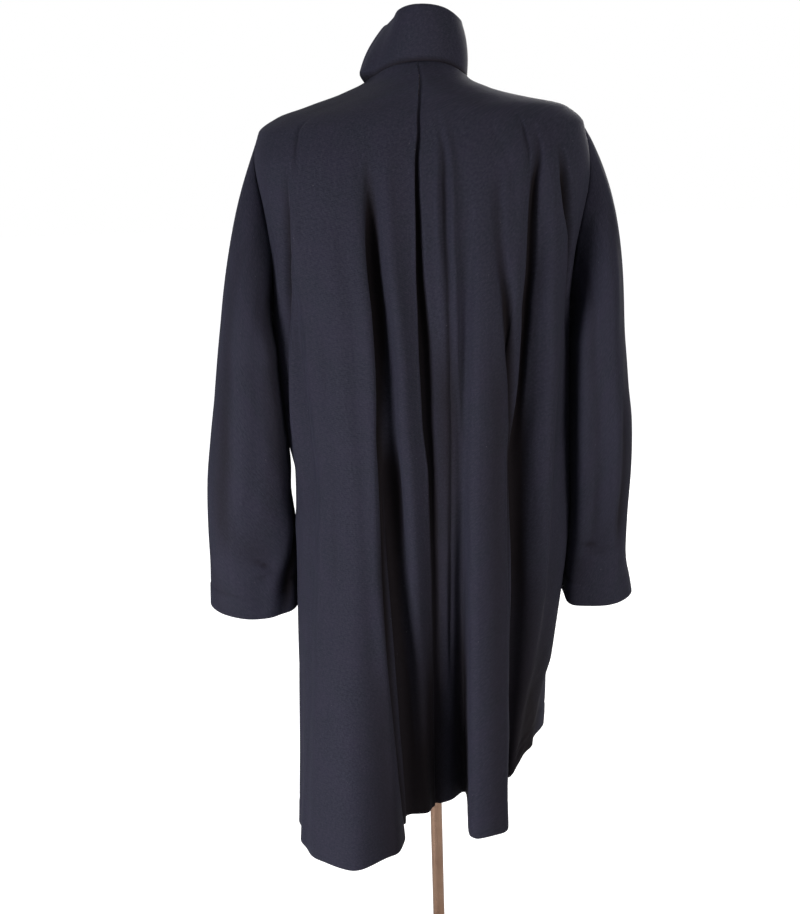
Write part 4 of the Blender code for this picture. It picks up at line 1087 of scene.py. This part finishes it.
    # painted shade: darker on the inner side towards the body, lower down, and in the troughs
    if side > 0:
        inner_shade = 0.16 * ease((1.06 - z) / 0.10) + 0.55 * ease((0.92 - z) / 0.14)
    else:
        inner_shade = 0.30 * ease((0.78 - z) / 0.06)
    painted_inner_shade = np.exp(-((angle - 168.0) / 34.0) ** 2) * inner_shade
    painted_shade = np.clip(np.clip(-shift / 0.005, 0.0, 1.0) + painted_inner_shade, 0.0, 1.0)
    uv = np.stack([around, -down], -1)
    return shell(name + "_cloth", points, normals, thick, uv, painted_shade, True)


for hand, side in (("left", 1.0), ("right", -1.0)):
    sleeve = "sleeve_" + hand
    pieces[sleeve] = build_sleeve(sleeve, side, edges["back_" + hand], edges["front_" + hand])


# ------------------------------------------------------------------ collar
def build_collar():
    """The standing collar, leaning and bulging as COLLAR_SHAPE says."""
    columns, rows = 180, 30
    angle = np.linspace(COLLAR_ENDS[0], COLLAR_ENDS[1], columns)
    share_up, lean, bulge, foot = (read(COLLAR_SHAPE, k, angle) for k in (1, 2, 3, 4))
    height = COLLAR_HEIGHT * share_up
    base_z = neck_z(angle)
    base = coat_point(angle, base_z)
    outward = unit(base * np.array([1.0, 1.0, 0.0]))
    points = []
    for r in range(rows):
        s = 1.0 - r / (rows - 1)
        out = lean * (0.35 * s + 0.65 * s * s) + bulge * math.sin(math.pi * s)
        out = out + foot * float(ease(s / 0.16)) * (1.0 - s)
        row = base + outward * out[:, None]
        row[:, 2] = base_z + COLLAR_GAP + height * s
        points.append(row)
    points = np.array(points)
    normal = normals_of(points)
    arc = np.concatenate([np.zeros((rows, 1)), np.cumsum(
        np.linalg.norm(np.diff(points, axis=1), axis=-1), axis=1)], 1)
    down = run_down(points)
    share = down / down[-1:]
    turn = angle[None] + 0.0 * down
    shift = 0.8 * unevenness(arc + 0.2, down) * ease(share / 0.2)
    shift -= 0.0004 * np.exp(-((down - 0.006) / 0.0010) ** 2)
    shift -= 0.0005 * np.exp(-((turn - 88.6) / 1.2) ** 2) * ease((0.97 - share) / 0.1)
    points = points + normal * shift[..., None]
    normal = normals_of(points)
    # painted shade at the collar's foot, where it meets the coat
    painted_shade = np.clip((share - 0.90) / 0.10, 0.0, 1.0) * 0.8
    return shell("collar_cloth", points, normal, COLLAR_CLOTH, np.stack([arc, -down], -1), painted_shade)


pieces["collar"] = build_collar()

for node, piece in pieces.items():
    piece.data.materials.append(WOOL)
    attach(piece, "root")
    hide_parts(node)


# ------------------------------------------------------------------ buttons
def ring_faces(rings, corners):
    """Quads that join rings of vertices, one after another."""
    faces = []
    for r in range(rings - 1):
        for c in range(corners):
            d = (c + 1) % corners
            faces.append((r * corners + c, r * corners + d, (r + 1) * corners + d,
                          (r + 1) * corners + c))
    return faces


def add_part(name, vertices, faces, material, node):
    mesh = bpy.data.meshes.new(name)
    mesh.from_pydata([tuple(v) for v in vertices], [], faces)
    mesh.update()
    mesh.shade_smooth()
    part = bpy.data.objects.new(name, mesh)
    bpy.context.collection.objects.link(part)
    mesh.materials.append(material)
    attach(part, "root")
    if node:
        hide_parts(node)


# Shares of the button's radius and thickness, from the underside's edge over the rim to the
# edge of the sunk middle
BUTTON_PROFILE = ((0.86, 0.0), (0.97, 0.12), (1.0, 0.35), (1.0, 0.70), (0.96, 0.93), (0.88, 1.0),
                  (0.80, 0.94), (0.72, 0.72), (0.60, 0.66))
FACE_SHARE, FACE_HEIGHT = BUTTON_PROFILE[-1][0], BUTTON_PROFILE[-1][1] * BUTTON_THICK
FACE_RINGS = 40
BUTTON_CORNERS = 64
HOLE = 0.22 * BUTTON_RADIUS     # from the button's middle, sideways and up
HOLE_RADIUS = 0.0011
HOLE_DEPTH = 0.0016
THREAD_RADIUS = 0.00035
THREAD_ROWS = 13
THREAD_CORNERS = 8


def circle(corners):
    """Cosine and sine of each corner's angle."""
    turns = [2.0 * math.pi * c / corners for c in range(corners)]
    return [(math.cos(a), math.sin(a)) for a in turns]


def button_face(place_at):
    """Rings of the sunk middle from its edge inward, pressed down where the four holes are."""
    vertices = []
    span = FACE_SHARE * BUTTON_RADIUS
    holes = [(sx * HOLE, sy * HOLE) for sx, sy in ((1, 1), (-1, 1), (-1, -1), (1, -1))]
    for r in range(1, FACE_RINGS):
        radius = span * (1 - r / FACE_RINGS)
        for c, s in circle(BUTTON_CORNERS):
            x, y = radius * c, radius * s
            near = min(math.hypot(x - h[0], y - h[1]) for h in holes)
            hollow = 1.0 - ease((near - 0.7 * HOLE_RADIUS) / (0.5 * HOLE_RADIUS))
            vertices.append(place_at(x, y, FACE_HEIGHT - HOLE_DEPTH * float(hollow)))
    return vertices


def build_disc(number, node, seat, place_at):
    vertices = []
    for radius, out in BUTTON_PROFILE:
        for c, s in circle(BUTTON_CORNERS):
            vertices.append(place_at(BUTTON_RADIUS * radius * c, BUTTON_RADIUS * radius * s,
                                     BUTTON_THICK * out))
    vertices += button_face(place_at)
    rings = len(BUTTON_PROFILE) + FACE_RINGS - 1
    faces = ring_faces(rings, BUTTON_CORNERS)
    under, top = len(vertices), len(vertices) + 1
    vertices += [seat, place_at(0.0, 0.0, FACE_HEIGHT)]
    last = (rings - 1) * BUTTON_CORNERS
    for c in range(BUTTON_CORNERS):
        d = (c + 1) % BUTTON_CORNERS
        faces += [(d, c, under), (last + c, last + d, top)]
    add_part("button_disc_%d" % number, vertices, faces, HORN, node)


def build_thread(number, place_at):
    """Two upright strands, each from a lower hole to the hole above it."""
    vertices, faces = [], []
    for side in (-1.0, 1.0):
        start = len(vertices)
        for k in range(THREAD_ROWS):
            s = k / (THREAD_ROWS - 1)
            y = HOLE * (2.0 * s - 1.0) * 0.98
            out = FACE_HEIGHT - 0.0009 + 0.0014 * math.sin(math.pi * s) ** 0.5
            for across, up in circle(THREAD_CORNERS):
                vertices.append(place_at(side * HOLE + 1.7 * THREAD_RADIUS * across, y,
                                         out + THREAD_RADIUS * up))
        faces += [tuple(start + v for v in face)
                  for face in ring_faces(THREAD_ROWS, THREAD_CORNERS)]
        for end in (0, THREAD_ROWS - 1):
            faces.append(tuple(start + end * THREAD_CORNERS + c for c in range(THREAD_CORNERS)))
    add_part("button_thread_%d" % number, vertices, faces, THREAD, None)


def build_button(number):
    """A button on its CAD solid's place, tilted as that solid is."""
    node = "button_%d" % number
    low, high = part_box(node)
    centre = (Vector(low) + Vector(high)) * 0.5
    half = (Vector(high) - Vector(low)) * 0.5
    lean = math.asin(min(1.0, max(0.0, (half.y - 0.5 * BUTTON_THICK) / BUTTON_RADIUS)))
    normal = Vector((0.0, -math.cos(lean), math.sin(lean)))
    across = Vector((1.0, 0.0, 0.0))
    up = across.cross(normal) * -1.0
    seat = centre - normal * BUTTON_THICK * 0.5

    def place_at(x, y, out):
        return seat + across * x + up * y + normal * out

    build_disc(number, node, seat, place_at)
    build_thread(number, place_at)


for number in range(1, BUTTON_COUNT + 1):
    build_button(number)

# ------------------------------------------------------------------ the stand
FINISHES = {
    "dress_form": linen(),
    "pole": copper("pole_copper", (0.62, 0.40, 0.28, 1), (0.48, 0.30, 0.21, 1), 0.16),
    "base": copper("base_copper", (0.55, 0.37, 0.27, 1), (0.42, 0.27, 0.19, 1), 0.26),
}
for node, finish in FINISHES.items():
    for material_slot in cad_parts[node].material_slots:
        material_slot.material = finish


# ------------------------------------------------------------------ floor, light and camera
FLOOR_HALF = 14.0
# name, place, aim, watts, size, colour
LIGHTS = (
    ("key", (2.15, 1.5, 0.12), (0.0, 0.1, 0.42), 110.0, 0.9, (0.95, 0.95, 1.0)),
    ("fill", (-2.0, 2.4, 1.2), (0.0, 0.0, 1.0), 52.0, 1.4, (1.0, 0.96, 0.93)),
    ("top", (0.0, -0.5, 2.9), (0.0, -0.05, 1.3), 14.0, 1.2, (1.0, 0.98, 0.96)),
    ("front", (-1.5, -2.6, 1.9), (0.0, 0.0, 1.0), 70.0, 1.6, (1.0, 0.98, 0.96)),
)
# The world's brightness falls from low in the sky to high up
WORLD_LEVEL = (("From Min", -0.2), ("From Max", 0.9), ("To Min", 0.50), ("To Max", 0.10))
CAMERA_AZIMUTH, CAMERA_DISTANCE, CAMERA_HEIGHT = math.radians(177.0), 1.65, 1.40
CAMERA_PITCH, CAMERA_ROLL, CAMERA_SIDEWAYS = math.radians(16.2), math.radians(1.87), 0.039
FOCAL_PIXELS, PHOTO_ROWS, SENSOR = 1190.0, 914.0, 36.0


def build_floor():
    """A pale floor that the camera itself sees as white, like the photo's background."""
    mesh = bpy.data.meshes.new("floor")
    corners = [(x * FLOOR_HALF, y * FLOOR_HALF, 0) for x, y in ((-1, -1), (1, -1), (1, 1), (-1, 1))]
    mesh.from_pydata(corners, [], [(0, 1, 2, 3)])
    floor = bpy.data.objects.new("floor", mesh)
    bpy.context.collection.objects.link(floor)
    n = Nodes("floor_paper")
    grain = n.noise(n.coordinates(), 3.0, 2.0)
    n.set("Base Color", n.mix(grain, (0.50, 0.50, 0.50, 1), (0.54, 0.54, 0.54, 1)))
    n.set("Roughness", 0.9)
    n.set("Emission Color", (1.0, 1.0, 1.0, 1.0))
    n.set("Emission Strength", n.add("ShaderNodeLightPath").outputs["Is Camera Ray"])
    n.set("Specular IOR Level", 0.0)
    mesh.materials.append(n.material)


def build_world():
    """Soft light from all round. The camera itself sees plain white."""
    world = bpy.data.worlds.new("studio")
    bpy.context.scene.world = world
    world.use_nodes = True
    tree = world.node_tree
    back = tree.nodes["Background"]
    back.inputs[0].default_value = (0.93, 0.95, 1.0, 1.0)
    sight = tree.nodes.new("ShaderNodeSeparateXYZ")
    level = tree.nodes.new("ShaderNodeMapRange")
    tree.links.new(tree.nodes.new("ShaderNodeTexCoord").outputs["Generated"], sight.inputs[0])
    tree.links.new(sight.outputs["Z"], level.inputs["Value"])
    for socket, value in WORLD_LEVEL:
        level.inputs[socket].default_value = value
    tree.links.new(level.outputs[0], back.inputs[1])
    paper = tree.nodes.new("ShaderNodeBackground")
    paper.inputs[0].default_value = (1.0, 1.0, 1.0, 1.0)
    seen = tree.nodes.new("ShaderNodeLightPath")
    both = tree.nodes.new("ShaderNodeMixShader")
    tree.links.new(seen.outputs["Is Camera Ray"], both.inputs[0])
    tree.links.new(back.outputs[0], both.inputs[1])
    tree.links.new(paper.outputs[0], both.inputs[2])
    tree.links.new(both.outputs[0], tree.nodes["World Output"].inputs[0])


def add_light(name, at, aim, energy, size, colour):
    light = bpy.data.lights.new(name, "AREA")
    light.energy = energy
    light.size = size
    light.color = colour
    lamp = bpy.data.objects.new(name, light)
    lamp.location = at
    lamp.rotation_euler = (Vector(aim) - Vector(at)).to_track_quat("-Z", "Y").to_euler()
    lamp.visible_camera = False
    bpy.context.collection.objects.link(lamp)


def build_camera():
    camera = bpy.data.cameras.new("camera")
    camera.sensor_fit = "VERTICAL"
    camera.sensor_height = SENSOR
    camera.lens = FOCAL_PIXELS / PHOTO_ROWS * SENSOR
    camera.clip_start = 0.05
    shooter = bpy.data.objects.new("camera", camera)
    bpy.context.collection.objects.link(shooter)
    sine, cosine = math.sin(CAMERA_AZIMUTH), math.cos(CAMERA_AZIMUTH)
    at = Vector((sine * CAMERA_DISTANCE, -cosine * CAMERA_DISTANCE, CAMERA_HEIGHT))
    ahead = Vector((-sine, cosine, 0.0))
    upright = Vector((0.0, 0.0, 1.0))
    right = ahead.cross(upright)
    at -= right * CAMERA_SIDEWAYS
    look = ahead * math.cos(CAMERA_PITCH) - upright * math.sin(CAMERA_PITCH)
    up = right.cross(look)
    c, s = math.cos(CAMERA_ROLL), math.sin(CAMERA_ROLL)
    turn = Matrix((right * c - up * s, up * c + right * s, -look)).transposed().to_4x4()
    turn.translation = at
    shooter.matrix_world = turn
    bpy.context.scene.camera = shooter


build_floor()
build_world()
build_camera()
for light in LIGHTS:
    add_light(*light)
bpy.context.scene.view_settings.view_transform = "Standard"
bpy.context.scene.view_settings.look = "None"
